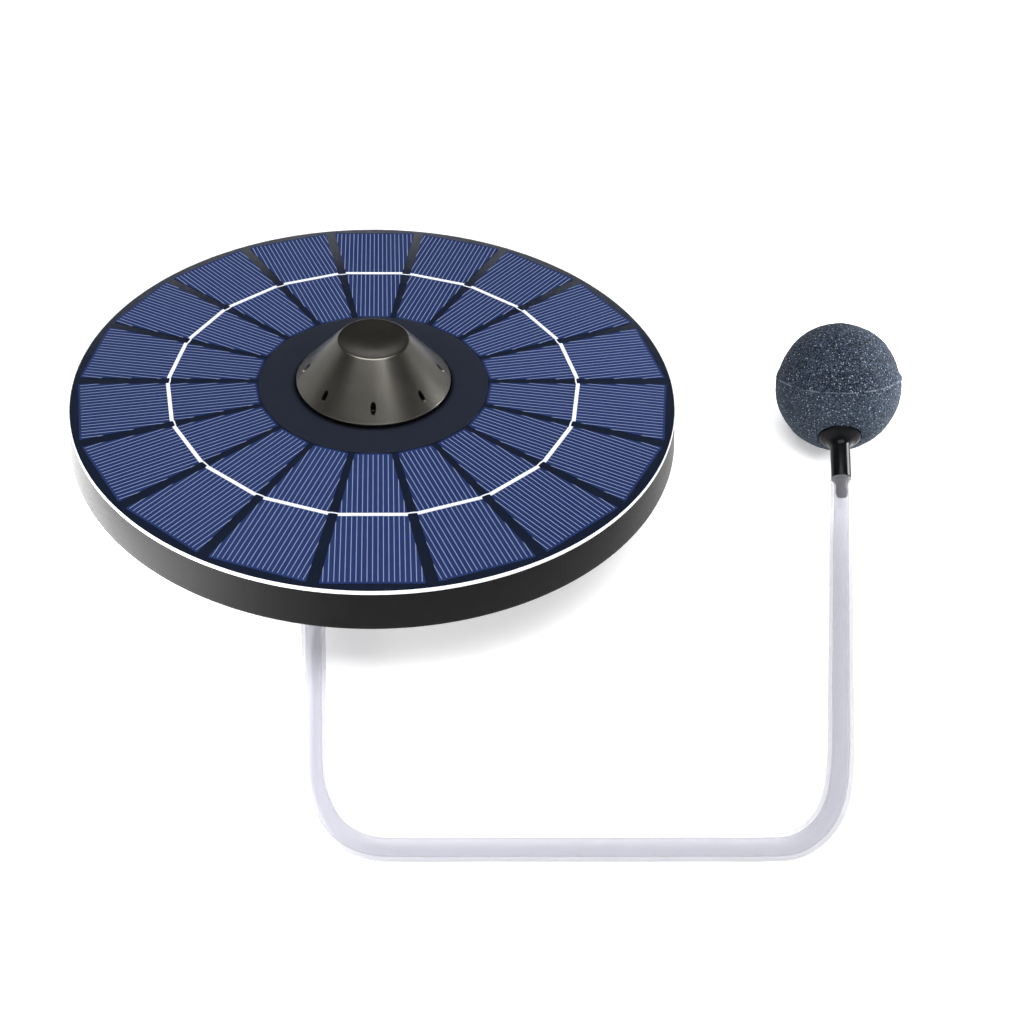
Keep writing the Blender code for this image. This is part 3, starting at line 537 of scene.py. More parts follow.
def cap_finish():
    """Anodised metal, dark with a warm cast, with fine turning marks round its axis."""
    finish = Finish("cap_metal")
    marks = finish.node("ShaderNodeTexNoise", noise_dimensions="1D")
    marks.inputs["Scale"].default_value = 1.0
    marks.inputs["Detail"].default_value = 3.0
    turns = finish.maths("MULTIPLY", finish.off_axis(), LATHE_MARKS_PER_METRE)
    finish.feed(marks.inputs["W"], turns)
    stain = finish.noise(0.004, 4.0)
    finish.set(**{
        "Base Color": finish.mix(stain, *CAP_METALS),
        "Metallic": 1.0,
        "Roughness": finish.spread(stain, 0.3, 0.7, 0.28, 0.30),
        "Normal": finish.bump(marks.outputs[0], 0.000002, 0.4),
    })
    return finish


def stone_finish():
    """Bonded grit: blue-grey grains, some pale, some nearly black, paler below the seam."""
    finish = Finish("stone_grey")
    grain = finish.noise(0.00042, 1.0)
    coarse = finish.noise(0.0014, 3.0)
    glint = finish.cells(0.00085)
    height = finish.vector_maths("DOT_PRODUCT", finish.place, SEAM_NORMAL, "Value")
    seam = STONE_CENTRE.dot(SEAM_NORMAL) + SEAM_HEIGHT
    lower = finish.spread(height, seam - 0.0030, seam + 0.0004, 1.0, 0.0)
    from_seam = finish.maths("ABSOLUTE", finish.maths("SUBTRACT", height, seam))
    line = finish.spread(from_seam, 0.0, SEAM_LINE, 0.5, 0.0)
    line = finish.maths("MULTIPLY", line, finish.spread(finish.noise(0.003), 0.4, 0.6))
    colour = finish.mix(finish.spread(grain, 0.42, 0.60), GRAIN_DARK, GRAIN_PALE)
    colour = finish.mix(finish.spread(coarse, 0.42, 0.62, 0.0, 0.40), colour, GRIT_PATCH)
    # Painted glint: pale specks in the colour; the lower roughness at the same specks is real
    # gloss.
    colour = finish.mix(finish.spread(glint, 0.0, 0.25, 1.0, 0.0), colour, PAINTED_GLINT)
    colour = finish.mix(finish.maths("MULTIPLY", lower, 0.12), colour, GRIT_LOWER)
    colour = finish.mix(line, colour, GRIT_SEAM)
    finish.set(**{
        "Base Color": colour,
        "Roughness": finish.spread(glint, 0.0, 0.25, 0.45, 0.92),
        "Specular IOR Level": 0.20,
        "Normal": finish.bump(finish.maths("ADD", grain, coarse), 0.00028, 0.8),
    })
    return finish


def hose_finish(name, colour, tint, least, most):
    """Soft clear hose: slightly milky and tinted, closing up where it's seen edge on."""
    finish = Finish(name)
    cloud = finish.ripple(0.012, 0.0, 0.12, detail=3.0)
    finish.set(**{
        "Base Color": finish.mix(cloud, colour, shade(colour, 0.93)),
        "Roughness": finish.ripple(0.004, 0.16, 0.26, detail=3.0),
        "Specular IOR Level": 0.3,
        "Normal": finish.bump(finish.noise(0.003), 0.00003, 0.5),
    })
    clear = finish.node("ShaderNodeBsdfTransparent")
    finish.feed(clear.inputs["Color"], tint)
    blend = finish.node("ShaderNodeMixShader")
    finish.feed(blend.inputs[0], finish.spread(finish.facing(0.45), 0.2, 0.95, least, most))
    finish.feed(blend.inputs[1], clear.outputs[0])
    finish.feed(blend.inputs[2], finish.shader.outputs[0])
    finish.feed(finish.output.inputs["Surface"], blend.outputs[0])
    return finish


def porous(name, dark, pale, size, depth):
    """Open foam: dark pores in a paler skin."""
    finish = Finish(name)
    pores = finish.cells(size)
    colour = finish.mix(finish.spread(pores, 0.15, 0.55), dark, pale)
    colour = finish.mix(finish.ripple(size * 8, 0.0, 0.3, detail=3.0), colour, shade(pale, 0.8))
    finish.set(**{
        "Base Color": colour,
        "Roughness": finish.spread(pores, 0.0, 0.6, 0.98, 0.85),
        "Specular IOR Level": 0.15,
        "Normal": finish.bump(pores, depth),
    })
    return finish


def panel_finish(name, colour, change):
    """The sheet between the cells: dark, smooth and slightly uneven under its resin."""
    finish = Finish(name)
    tone = finish.mix(finish.noise(0.010), shade(colour, 1 - change), shade(colour, 1 + change))
    fibre = finish.noise(0.0005, 2.0, (1.0, 6.0, 1.0))
    tone = finish.mix(finish.spread(fibre, 0.4, 0.8, 0.0, 0.25), tone, shade(colour, 1.35))
    finish.set(**{
        "Base Color": tone,
        "Roughness": finish.ripple(0.005, 0.17, 0.25),
        "Specular IOR Level": PANEL_LEVEL,
        "Coat Weight": PANEL_COAT,
        "Coat Roughness": 0.15,
        "Normal": finish.bump(fibre, 0.000006),
    })
    return finish


def hub_finish():
    """The centre plate, dark, with painted shade under the cap and in a thin ring round its foot.
    """
    finish = panel_finish("hub_plastic", HUB_BLACK, 0.10)
    radius = finish.off_axis()
    # Painted shade: near black and without reflection under the cap, fading out in a thin ring
    # round its foot.
    unshaded = finish.spread(radius, CAP_RADIUS + PAINTED_SHADE_START, CAP_RADIUS + PAINTED_SHADE_END)
    colour = finish.mix(unshaded, HUB_PAINTED_SHADE, HUB_BLACK)
    speck = finish.ripple(0.0005, 0.0, 0.25, detail=3.0)
    return finish.set(**{
        "Base Color": finish.mix(speck, colour, shade(HUB_BLACK, 0.9)),
        "Specular IOR Level": finish.maths("MULTIPLY", unshaded, PANEL_LEVEL),
        "Coat Weight": finish.maths("MULTIPLY", unshaded, PANEL_COAT),
    })


def make_finishes():
    """One finish for each of the record's material slots."""
    made = [
        moulded("black_plastic", (0.018, 0.018, 0.019), 0.45),
        moulded(
            "white_plastic", (0.88, 0.885, 0.90), 0.35, grain=0.0008, depth=0.000008, change=0.02
        ),
        moulded("grey_plastic", (0.25, 0.26, 0.27), 0.50),
        moulded("rubber", (0.030, 0.030, 0.030), 0.72, grain=0.0003),
        moulded("ferrite", (0.080, 0.078, 0.076), 0.62, grain=0.0003, depth=0.00003),
        moulded(
            "nylon_white", (0.74, 0.72, 0.66), 0.45, grain=0.0006, depth=0.00001, change=0.06
        ),
        moulded("board_green", (0.030, 0.150, 0.065), 0.42, grain=0.0009, depth=0.00001),
        moulded("lead_red", (0.50, 0.028, 0.026), 0.42, grain=0.0006, depth=0.00001),
        moulded("lead_black", (0.018, 0.018, 0.018), 0.42, grain=0.0006, depth=0.00001),
        moulded(
            "gloss_black", (0.0035, 0.0038, 0.0045), 0.12, grain=0.0016, depth=0.000004, level=0.08
        ),
        worked_metal("steel", (0.56, 0.57, 0.58), 0.30),
        worked_metal("bronze", (0.52, 0.34, 0.16), 0.40),
        worked_metal("brass", (0.68, 0.50, 0.22), 0.33),
        worked_metal("copper", (0.60, 0.28, 0.15), 0.36),
        porous("white_foam", (0.55, 0.55, 0.53), (0.82, 0.82, 0.80), size=0.0028, depth=0.0003),
        porous(
            "sponge_grey", (0.010, 0.010, 0.011), (0.120, 0.120, 0.118), size=0.0011, depth=0.0005
        ),
        panel_finish("panel_black", PANEL_BLACK, change=0.15),
        hub_finish(),
        moulded(
            "busbar_silver", (0.66, 0.685, 0.78), 0.38, 0.0010, 0.00001, level=0.5, change=0.03
        ),
        cell_finish(),
        cap_finish(),
        stone_finish(),
        hose_finish("clear_hose", HOSE_MILK, HOSE_TINT, least=0.18, most=0.45),
    ]
    return {finish.name: finish.material for finish in made}


def finish_cad_parts():
    """Gives each CAD part that still shows the finish of its slot."""
    for name, part in frame["nodes"].items():
        if part.hide_render:
            continue
        for slot in part.material_slots:
            slot.link = "OBJECT"
            slot.material = FINISHES[SLOT_OF[name]]


# ------------------------ hose
BARB_X, BARB_Z = -0.0160, 0.0086
BARB_FACE_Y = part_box("outlet_barb")[0].y
HOSE_RADIUS = 0.0030
HOSE_BORE = 0.0020
HOSE_GAP = 0.0003
FLOOR_LINE = 0.00305
STONE_CENTRE = Vector((0.1325, 0.0180, 0.0173))
STONE_RADIUS = 0.0170
STONE_HALF_LENGTH = 0.0185
STEM_DIRECTION = Vector((-0.130, -0.9366, -0.325)).normalized()
STEM_END = 0.0314
STEM_RADIUS, STEM_BORE = 0.0027, 0.0011
TOOTH_RADIUS, TOOTH_ROOT = 0.00176, 0.00155
FLANGE_RADIUS = 0.0057
FLANGE_BASE = 0.0163
STEM_TURN = STEM_DIRECTION.to_track_quat("Z", "Y").to_matrix().to_4x4()
STEM_PLACE = Matrix.Translation(STONE_CENTRE) @ STEM_TURN

# Where the hose's centre line passes while it lies on the floor.
FLOOR_RUN = (
    (-0.0146, -0.0670), (-0.0141, -0.0804), (-0.0136, -0.0950), (-0.0131, -0.1070),
    (-0.0114, -0.1152), (-0.0074, -0.1230), (-0.0008, -0.1272), (0.0080, -0.1279),
    (0.0271, -0.1280), (0.0484, -0.1282), (0.0697, -0.1283), (0.0830, -0.1284),
    (0.0906, -0.1276), (0.0972, -0.1229), (0.1020, -0.1156), (0.1058, -0.1048),
    (0.1102, -0.0874), (0.1143, -0.0711), (0.1186, -0.0540), (0.1222, -0.0393),
)
HOSE_ROUTE = (
    (BARB_X, BARB_FACE_Y - HOSE_GAP, BARB_Z),
    (-0.0160, -0.0430, 0.0081),
    (-0.0157, -0.0510, 0.0061),
    (-0.0151, -0.0585, 0.0038),
    *((x, y, FLOOR_LINE) for x, y in FLOOR_RUN),
    (0.1254, -0.0265, 0.0035),
    (0.1271, -0.0190, 0.0048),
    tuple(STONE_CENTRE + STEM_DIRECTION * (STEM_END + HOSE_GAP)),
)


def make_hose(stone, stem):
    path = smooth_route(HOSE_ROUTE, spacing=0.0015)
    # The bore's own finish is painted shade: a touch bluer and dimmer than the outside.
    bore = hose_finish("hose_bore", BORE_SHADED_MILK, BORE_SHADED_TINT, least=0.12, most=0.35)
    looks = [FINISHES["clear_hose"], bore.material]
    hose = swept_tube("clear_hose", path, HOSE_RADIUS, HOSE_BORE, 40, looks)
    settle(hose, "hull", "clear_hose", "air_hose")


# ------------------------ air stone
SEAM_NORMAL = Vector((-0.07, 0.34, 0.94)).normalized()
SEAM_HEIGHT = 0.0031
SEAM_REACH = 0.00027
SEAM_STEP, SEAM_STEP_REACH = 0.00016, 0.00025
FLASH_HEIGHT, FLASH_CHANGE = 0.00012, 0.00022
# Where the flash stands out most along the seam, and by how much.
SEAM_LUMPS = (
    (Vector((-0.955, 0.10, 0.17)).normalized(), 0.00085),
    (Vector((0.880, -0.32, 0.33)).normalized(), 0.00045),
)
PIT = Vector((-0.885, -0.465, -0.024)).normalized()
PIT_REACH, PIT_DEPTH = 0.0011, 0.00075
GRIT_INSET, GRIT_MOST = 0.00012, 0.0006
# Height of each kind of lump in the grit, and how many there are to a metre.
GRIT_LUMPS = ((0.00010, 900), (0.00008, 2300), (0.00014, 160))


def stone_radius(direction):
    """How far the grit reaches from the centre in this direction: lumps, seam, flash and pit."""
    place = direction * STONE_RADIUS
    above = place.dot(SEAM_NORMAL) - SEAM_HEIGHT
    size = STONE_RADIUS - GRIT_INSET
    for height, per_metre in GRIT_LUMPS:
        size += height * noise.noise(place * per_metre)
    size += SEAM_STEP * (1 - math.tanh(above / SEAM_STEP_REACH))
    ridge = math.exp(-(above / SEAM_REACH) ** 2)
    lift = FLASH_HEIGHT + FLASH_CHANGE * noise.noise(place * 420)
    for direction_of_lump, height in SEAM_LUMPS:
        near = max(0.0, direction.dot(direction_of_lump))
        lift += height * near**60
    size += ridge * max(0.0, lift)
    pit = (place - PIT * STONE_RADIUS).length
    size -= PIT_DEPTH * math.exp(-(pit / PIT_REACH) ** 2)
    return min(size, STONE_RADIUS + GRIT_MOST)


def make_stone():
    """The grit ball, with a round seat for the stem's flange."""
    work = bmesh.new()
    bmesh.ops.create_icosphere(work, subdivisions=7, radius=1.0)
    seat_radius, seat_depth = FLANGE_RADIUS + 0.0002, FLANGE_BASE - 0.0001
    lengthen = STONE_HALF_LENGTH / STONE_RADIUS - 1
    for point in work.verts:
        direction = point.co.normalized()
        place = direction * stone_radius(direction)
        place += STEM_DIRECTION * (lengthen * place.dot(STEM_DIRECTION))
        along = place.dot(STEM_DIRECTION)
        across = (place - STEM_DIRECTION * along).length
        if along > seat_depth and across < seat_radius:
            place -= STEM_DIRECTION * (along - seat_depth)
        place.z = max(place.z, 0.0001 - STONE_CENTRE.z)
        point.co = STONE_CENTRE + place
    mesh = bpy.data.meshes.new("stone_ball")
    work.to_mesh(mesh)
    work.free()
    mesh.materials.append(FINISHES["stone_grey"])
    mesh.shade_smooth()
    stone = bpy.data.objects.new("stone_ball", mesh)
    bpy.context.scene.collection.objects.link(stone)
    return settle(stone, "hull", "stone_grey", "air_stone")


def make_stem():
    """Flange, neck and stem, with the barb that holds the hose from inside."""
    barb_end = STEM_END + 0.0052
    outline = [
        (STEM_BORE, barb_end),
        (0.00140, barb_end),
        (TOOTH_RADIUS, STEM_END + 0.0036),
        (TOOTH_ROOT, STEM_END + 0.0034),
        (TOOTH_ROOT, STEM_END + 0.0020),
        (TOOTH_RADIUS, STEM_END + 0.0010),
        (0.00160, STEM_END + 0.0008),
        (0.00160, STEM_END),
        (STEM_RADIUS, STEM_END),
        (STEM_RADIUS, FLANGE_BASE + 0.0042),
        (0.0036, FLANGE_BASE + 0.0028),
        (FLANGE_RADIUS - 0.0009, FLANGE_BASE + 0.0022),
        (FLANGE_RADIUS, FLANGE_BASE + 0.0014),
        (FLANGE_RADIUS, FLANGE_BASE),
        (STEM_BORE, FLANGE_BASE),
    ]
    barb_corners = [0.0, 0.0002, 0.0002, 0.0, 0.0, 0.0002, 0.0, 0.0]
    neck_corners = [0.0004, 0.0012, 0.0006, 0.0003, 0.0003, 0.0, 0.0]
    corners = barb_corners + neck_corners
    return turned_piece(
        "stone_neck", "gloss_black", "stone_stem", outline, corners, 72, place=STEM_PLACE
    )


# ------------------------ hull, board and cells
DISC_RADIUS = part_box("panel_board")[1].x
HULL_LOW, HULL_HIGH = (corner.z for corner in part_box("hull_tray"))
HULL_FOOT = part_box("hull_tray")[1].x
BOARD_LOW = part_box("panel_board")[0].z
FACE_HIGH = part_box("panel_face")[1].z
CELL_LOW, CELL_HIGH = (corner.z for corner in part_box("solar_cell_01"))
DISC_STEPS = 224
AIR_HOLE = 0.0090
HULL_WALL = 0.0016
HULL_LIP = 0.00055
FOOT_BEVEL = 0.0007
WELL_RADIUS = 0.0290
GROOVES = ((0.0725, 0.0705), (0.0475, 0.0455))
GROOVE_SLOPE, GROOVE_DEPTH = 0.0003, 0.0005
FLOAT_GAP = 0.0007
RIM_WIDTH = 0.00016

CELL_COUNT = 18
CELL_INNER, CELL_OUTER = 0.0308, 0.0774
CELL_INNER_HALF, CELL_OUTER_HALF = 0.00459, 0.01212
CELL_LENGTH = CELL_OUTER - CELL_INNER
CELL_BEVEL, CELL_TOP_SHARE = 0.00002, 0.999
FINGER_PITCH = 0.00125
BUSBAR_RADIUS = 0.0540
BUSBAR_HALF = 0.0005
BUSBAR_BEVEL = 0.00004
LINK_HALF = 0.00018
LINK_LAP = 0.0003
LINK_SAG = 0.00012


def make_hull():
    """The tray: grained wall with a rounded foot, two ring grooves underneath, and the well."""
    outline = [
        (DISC_RADIUS - 0.00005, HULL_HIGH + HULL_LIP),
        (DISC_RADIUS + 0.00003, HULL_HIGH - 0.0002),
        (HULL_FOOT, HULL_LOW + FOOT_BEVEL),
        (HULL_FOOT - FOOT_BEVEL, HULL_LOW),
    ]
    for outer, inner in GROOVES:
        outline += [
            (outer, HULL_LOW),
            (outer - GROOVE_SLOPE, HULL_LOW + GROOVE_DEPTH),
            (inner + GROOVE_SLOPE, HULL_LOW + GROOVE_DEPTH),
            (inner, HULL_LOW),
        ]
    outline += [
        (WELL_RADIUS, HULL_LOW),
        (WELL_RADIUS, HULL_HIGH),
        (WELL_RADIUS + HULL_WALL, HULL_HIGH),
        (WELL_RADIUS + HULL_WALL, HULL_LOW + HULL_WALL),
        (HULL_FOOT - HULL_WALL, HULL_LOW + HULL_WALL),
        (DISC_RADIUS - HULL_WALL, HULL_HIGH + HULL_LIP),
    ]
    wall_corners = [0.0001, 0.0002, 0.0006, 0.0006]
    inside_corners = [0.0005, 0.0002, 0.0002, 0.0004, 0.0004, 0.0001]
    corners = wall_corners + [0.0002] * 8 + inside_corners
    profile = rounded(outline, corners, 4, closed=True)
    hull = turned("hull_shell", profile, hull_finish().material, DISC_STEPS, closed=True)
    settle(hull, "hull", "black_plastic", "hull_tray")

    outer, inner = DISC_RADIUS - HULL_WALL - FLOAT_GAP, WELL_RADIUS + HULL_WALL + FLOAT_GAP
    low, high = HULL_LOW + HULL_WALL + 0.0003, HULL_HIGH - 0.0002
    foam = [(outer, high), (outer, low), (inner, low), (inner, high)]
    ring = turned_piece("float_ring", "white_foam", "foam_ring", foam, 0.0012, 96, segments=3)


def make_board():
    """The white board, whose raised rim shows round the dark sheet and above the hull's wall."""
    rim_inner = DISC_RADIUS - RIM_WIDTH
    rim_low, rim_high = BOARD_LOW + 0.00030, CELL_HIGH - 0.00002
    board_top = FACE_HIGH - 0.00020
    outline = [
        (rim_inner, rim_high),
        (DISC_RADIUS, rim_high),
        (DISC_RADIUS, rim_low),
        (AIR_HOLE, rim_low),
        (AIR_HOLE, board_top),
        (rim_inner, board_top),
    ]
    corners = [0.00006, 0.00010, 0.00012, 0.0002, 0.0002, 0.0]
    turned_piece("board_rim", "white_plastic", "panel_board", outline, corners, DISC_STEPS)
    outer, inner = rim_inner - 0.00008, AIR_HOLE + 0.0001
    low = board_top + 0.00003
    sheet = [(outer, FACE_HIGH), (outer, low), (inner, low), (inner, FACE_HIGH)]
    turned_piece(
        "panel_sheet", "panel_black", "panel_face", sheet, 0.00006, DISC_STEPS, segments=2
    )


def on_disc(angle, out, across):
    """The place on the disc this far out and this far across the line at an angle."""
    return Vector((
        out * math.cos(angle) - across * math.sin(angle),
        out * math.sin(angle) + across * math.cos(angle),
    ))


def cell_outline():
    """A trapezoid with small round corners, centred on its own middle, the wide end at +X."""
    half = CELL_LENGTH / 2
    corners = [
        (-half, -CELL_INNER_HALF),
        (half, -CELL_OUTER_HALF),
        (half, CELL_OUTER_HALF),
        (-half, CELL_INNER_HALF),
    ]
    return rounded(corners, [0.0003, 0.0005, 0.0005, 0.0003], 4, closed=True)


def make_cells():
    outline = cell_outline()
    count = len(outline)
    middle = (CELL_INNER + CELL_OUTER) / 2
    levels = (
        (1.0, CELL_LOW - 0.00003),
        (1.0, CELL_HIGH - CELL_BEVEL),
        (CELL_TOP_SHARE, CELL_HIGH),
    )
    faces = [tuple(range(2 * count, 3 * count)), tuple(reversed(range(count)))]
    for level in (0, count):
        for step in range(count):
            after = (step + 1) % count
            upper = level + count
            faces.append((level + step, level + after, upper + after, upper + step))
    for index in range(CELL_COUNT):
        angle = FULL_TURN * (index + 0.5) / CELL_COUNT
        points, flat = [], []
        for share, height in levels:
            for x, y in outline:
                flat.append((x * share, y * share))
                points.append((*on_disc(angle, middle + x * share, y * share), height))
        cell = mesh_object(f"cell_{index + 1:02d}", points, faces, FINISHES["cell_blue"])
        metres = cell.data.uv_layers.new(name="CellMetres")
        for loop, corner in zip(cell.data.loops, metres.data):
            corner.uv = flat[loop.vertex_index]
        # Each cell has a tone of its own, from 0 to 1.
        tone = cell.data.attributes.new("tone", "FLOAT", "POINT")
        tone.data.foreach_set("value", [0.5 + 0.5 * math.sin(5.3 * index + 1.0)] * len(points))
        settle(cell, "hull", "cell_blue", f"solar_cell_{index + 1:02d}")


def make_busbar():
    """A flat ribbon across each cell, joined to the next by a thin link that sags inwards."""
    low, high = CELL_HIGH + 0.00001, CELL_HIGH + 0.00015
    share = (BUSBAR_RADIUS - CELL_INNER) / CELL_LENGTH
    reach = CELL_INNER_HALF + share * (CELL_OUTER_HALF - CELL_INNER_HALF)
    points, faces = [], []

    def add_bar(start, end, half, top):
        along = (end - start).normalized()
        side = Vector((-along.y, along.x))
        corners = [start - side * half, end - side * half, end + side * half, start + side * half]
        first = len(points)
        centre = (start + end) / 2
        for height, inset in ((low, 0.0), (top - BUSBAR_BEVEL, 0.0), (top, BUSBAR_BEVEL)):
            for corner in corners:
                inwards = (centre - corner).normalized() * inset
                points.append((corner.x + inwards.x, corner.y + inwards.y, height))
        faces.append(tuple(first + 8 + step for step in range(4)))
        faces.append(tuple(first + 3 - step for step in range(4)))
        for level in (first, first + 4):
            for step in range(4):
                after = (step + 1) % 4
                faces.append((level + step, level + after, level + 4 + after, level + 4 + step))

    for index in range(CELL_COUNT):
        angle = FULL_TURN * (index + 0.5) / CELL_COUNT
        following = angle + FULL_TURN / CELL_COUNT
        ends = (on_disc(angle, BUSBAR_RADIUS, side) for side in (-reach, reach))
        add_bar(*ends, BUSBAR_HALF, high)
        start = on_disc(angle, BUSBAR_RADIUS - LINK_LAP, reach - LINK_LAP)
        end = on_disc(following, BUSBAR_RADIUS - LINK_LAP, -reach + LINK_LAP)
        sag = (start + end).normalized() * -LINK_SAG
        stops = [start, start.lerp(end, 0.3) + sag, start.lerp(end, 0.7) + sag, end]
        for a, b in zip(stops, stops[1:]):
            add_bar(a, b, LINK_HALF, high - 0.00003)
    ribbon = mesh_object("bus_ribbon", points, faces, FINISHES["busbar_silver"])
    settle(ribbon, "hull", "busbar_silver", "busbar_ring")


def make_hub():
    low, high = (corner.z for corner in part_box("hub_plate"))
    low -= 0.00002
    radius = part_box("hub_plate")[1].x
    outline = [(radius, high), (radius, low), (AIR_HOLE, low), (AIR_HOLE, high)]
    corners = [0.00012, 0.0, 0.0, 0.00012]
    turned_piece("centre_plate", "hub_plastic", "hub_plate", outline, corners, 180)


# ------------------------ cone cap and air intake
CAP_LOW, CAP_HIGH = (corner.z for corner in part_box("cone_cap"))
CAP_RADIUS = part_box("cone_cap")[1].x
CAP_TOP_RADIUS = 0.0094
CAP_WALL = 0.0015
CAP_EDGE = 0.0009
CAP_CROWN = 0.0026
# The hollow in the top: radius, and depth under the top's edge.
CAP_DISH = ((0.0, 0.0010), (0.0030, 0.00092), (0.0056, 0.00062), (0.0078, 0.00018))
SLOT_COUNT = 8
SLOT_RADIUS, SLOT_HEIGHT = 0.0177, 0.0038
SLOT_WIDTH, SLOT_LENGTH = 0.0011, 0.0026
# The slot tool: share of the slot's size, and height over the cone's surface.
SLOT_FLARE = (
    (0.0, 0.0030),
    (0.82, 0.0030),
    (0.68, 0.00012),
    (0.50, -0.00035),
    (0.50, -0.0040),
    (0.0, -0.0040),
)
COLLAR_TUBE, COLLAR_BORE = 0.0086, 0.0070
COLLAR_WALL, COLLAR_FLOOR = 0.0010, 0.0009
SPONGE_TOP, SPONGE_RADIUS, SPONGE_SHOULDER = 0.0080, 0.0148, 0.0346
SPONGE_SPACING = 0.0006
SPONGE_DENT = 0.00018


def make_slot_cutter():
    """Eight oval tools, square to the cone's slope, each flared where it meets the surface."""
    slope = math.atan2(CAP_HIGH - CAP_LOW - SLOT_HEIGHT, SLOT_RADIUS - CAP_TOP_RADIUS)
    place = Matrix.Translation((SLOT_RADIUS, 0.0, CAP_LOW + SLOT_HEIGHT))
    lean = Matrix.Rotation(slope, 4, "Y")
    size = Matrix.Diagonal((SLOT_LENGTH, SLOT_WIDTH, 1.0, 1.0))
    own_points, own_faces = turned_faces(SLOT_FLARE, 28)
    points, faces = [], []
    for index in range(SLOT_COUNT):
        turn = Matrix.Rotation(index * FULL_TURN / SLOT_COUNT, 4, "Z")
        first = len(points)
        points += [turn @ place @ lean @ size @ Vector(point) for point in own_points]
        faces += [tuple(first + corner for corner in face) for face in own_faces]
    return mesh_object("slot_cutter", points, faces, FINISHES["cap_metal"])


def make_cap():
    height = CAP_HIGH - CAP_LOW
    outline = [(radius, height - depth) for radius, depth in CAP_DISH]
    outline += [
        (CAP_TOP_RADIUS - 0.0002, height),
        (CAP_TOP_RADIUS + 0.0001, height - 0.0002),
        (CAP_RADIUS - 0.0002, CAP_EDGE),
        (CAP_RADIUS, CAP_EDGE - 0.0002),
        (CAP_RADIUS, 0.0),
        (CAP_RADIUS - CAP_WALL - 0.0003, 0.0),
        (CAP_TOP_RADIUS - 0.0008, height - CAP_CROWN),
        (0.0, height - CAP_CROWN),
    ]
    corners = [0.0] * 4 + [0.00025, 0.00025, 0.00015, 0.00015, 0.0001, 0.0003, 0.0006, 0.0]
    profile = [(radius, CAP_LOW + level) for radius, level in rounded(outline, corners, 4)]
    cap = turned("cap_shell", profile, FINISHES["cap_metal"], 192)
    cut(cap, make_slot_cutter())
    settle(cap, "cap", "cap_metal", "cone_cap")


def make_intake():
    """The collar under the cap, and the sponge that lies on it."""
    low, high = (corner.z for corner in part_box("intake_collar"))
    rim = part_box("intake_collar")[1].x
    floor = high - COLLAR_FLOOR
    outline = [
        (rim, high),
        (rim, CAP_LOW),
        (COLLAR_TUBE, CAP_LOW),
        (COLLAR_TUBE, low),
        (COLLAR_BORE, low),
        (COLLAR_BORE, floor),
        (rim - COLLAR_WALL, floor),
        (rim - COLLAR_WALL, high),
    ]
    turned_piece(
        "air_collar", "black_plastic", "intake_collar", outline, 0.0003, 120, segments=3
    )
    low, high = (corner.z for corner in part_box("filter_sponge"))
    outline = [
        (0.0, high),
        (SPONGE_TOP, high),
        (SPONGE_RADIUS, SPONGE_SHOULDER),
        (SPONGE_RADIUS, low),
        (0.0, low),
    ]
    profile = rounded(outline, [0.0, 0.0018, 0.0012, 0.0003, 0.0], 5)
    dense = []
    for start, end in zip(profile, profile[1:]):
        stops = max(1, round(math.dist(start, end) / SPONGE_SPACING))
        for step in range(stops):
            dense.append([a + (b - a) * step / stops for a, b in zip(start, end)])
    dense.append(profile[-1])
    sponge = turned("sponge_disc", dense, FINISHES["sponge_grey"], 120)
    for point in sponge.data.vertices:
        if low + 0.0002 < point.co.z:
            outwards = Vector((point.co.x, point.co.y, 0.004)).normalized()
            point.co -= outwards * (SPONGE_DENT + SPONGE_DENT * noise.noise(point.co * 1100))
    settle(sponge, "hull", "sponge_grey", "filter_sponge")


# ------------------------ pump housing
HOUSING_LOW, HOUSING_HIGH = 0.0045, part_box("pump_housing")[1].z
HOUSING_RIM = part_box("pump_housing")[1].x
HOUSING_BORE = 0.0294
HOUSING_STEPS = 160
BOSS_FACE, BOSS_BACK = 0.0335, 0.0250
BOSS_RADIUS, BOSS_ROOT = 0.0038, 0.0050
COVER_RADIUS, COVER_EDGE = 0.0310, 0.0012
FOOT_OUTER, FOOT_INNER, FOOT_HEIGHT = 0.0216, 0.0190, 0.0004
SCREW_COUNT = 4
SHANK_RADIUS, HEAD_RADIUS, HEAD_HEIGHT = 0.0011, 0.0022, 0.0008
SOCKET_RADIUS, SOCKET_DEPTH = 0.0010, 0.0010
OUTLET_BACK, OUTLET_TIP = 0.0222, 0.0430
OUTLET_BORE, OUTLET_SHANK, OUTLET_FLANGE = 0.0009, 0.0015, 0.0034
OUTLET_TOOTH, OUTLET_ROOT = 0.00192, 0.00165


def along_minus_y(x, z):
    """Lays a shape made along Z down along -Y, through x and z."""
    return Matrix.Translation((x, 0.0, z)) @ Matrix.Rotation(math.pi / 2, 4, "X")


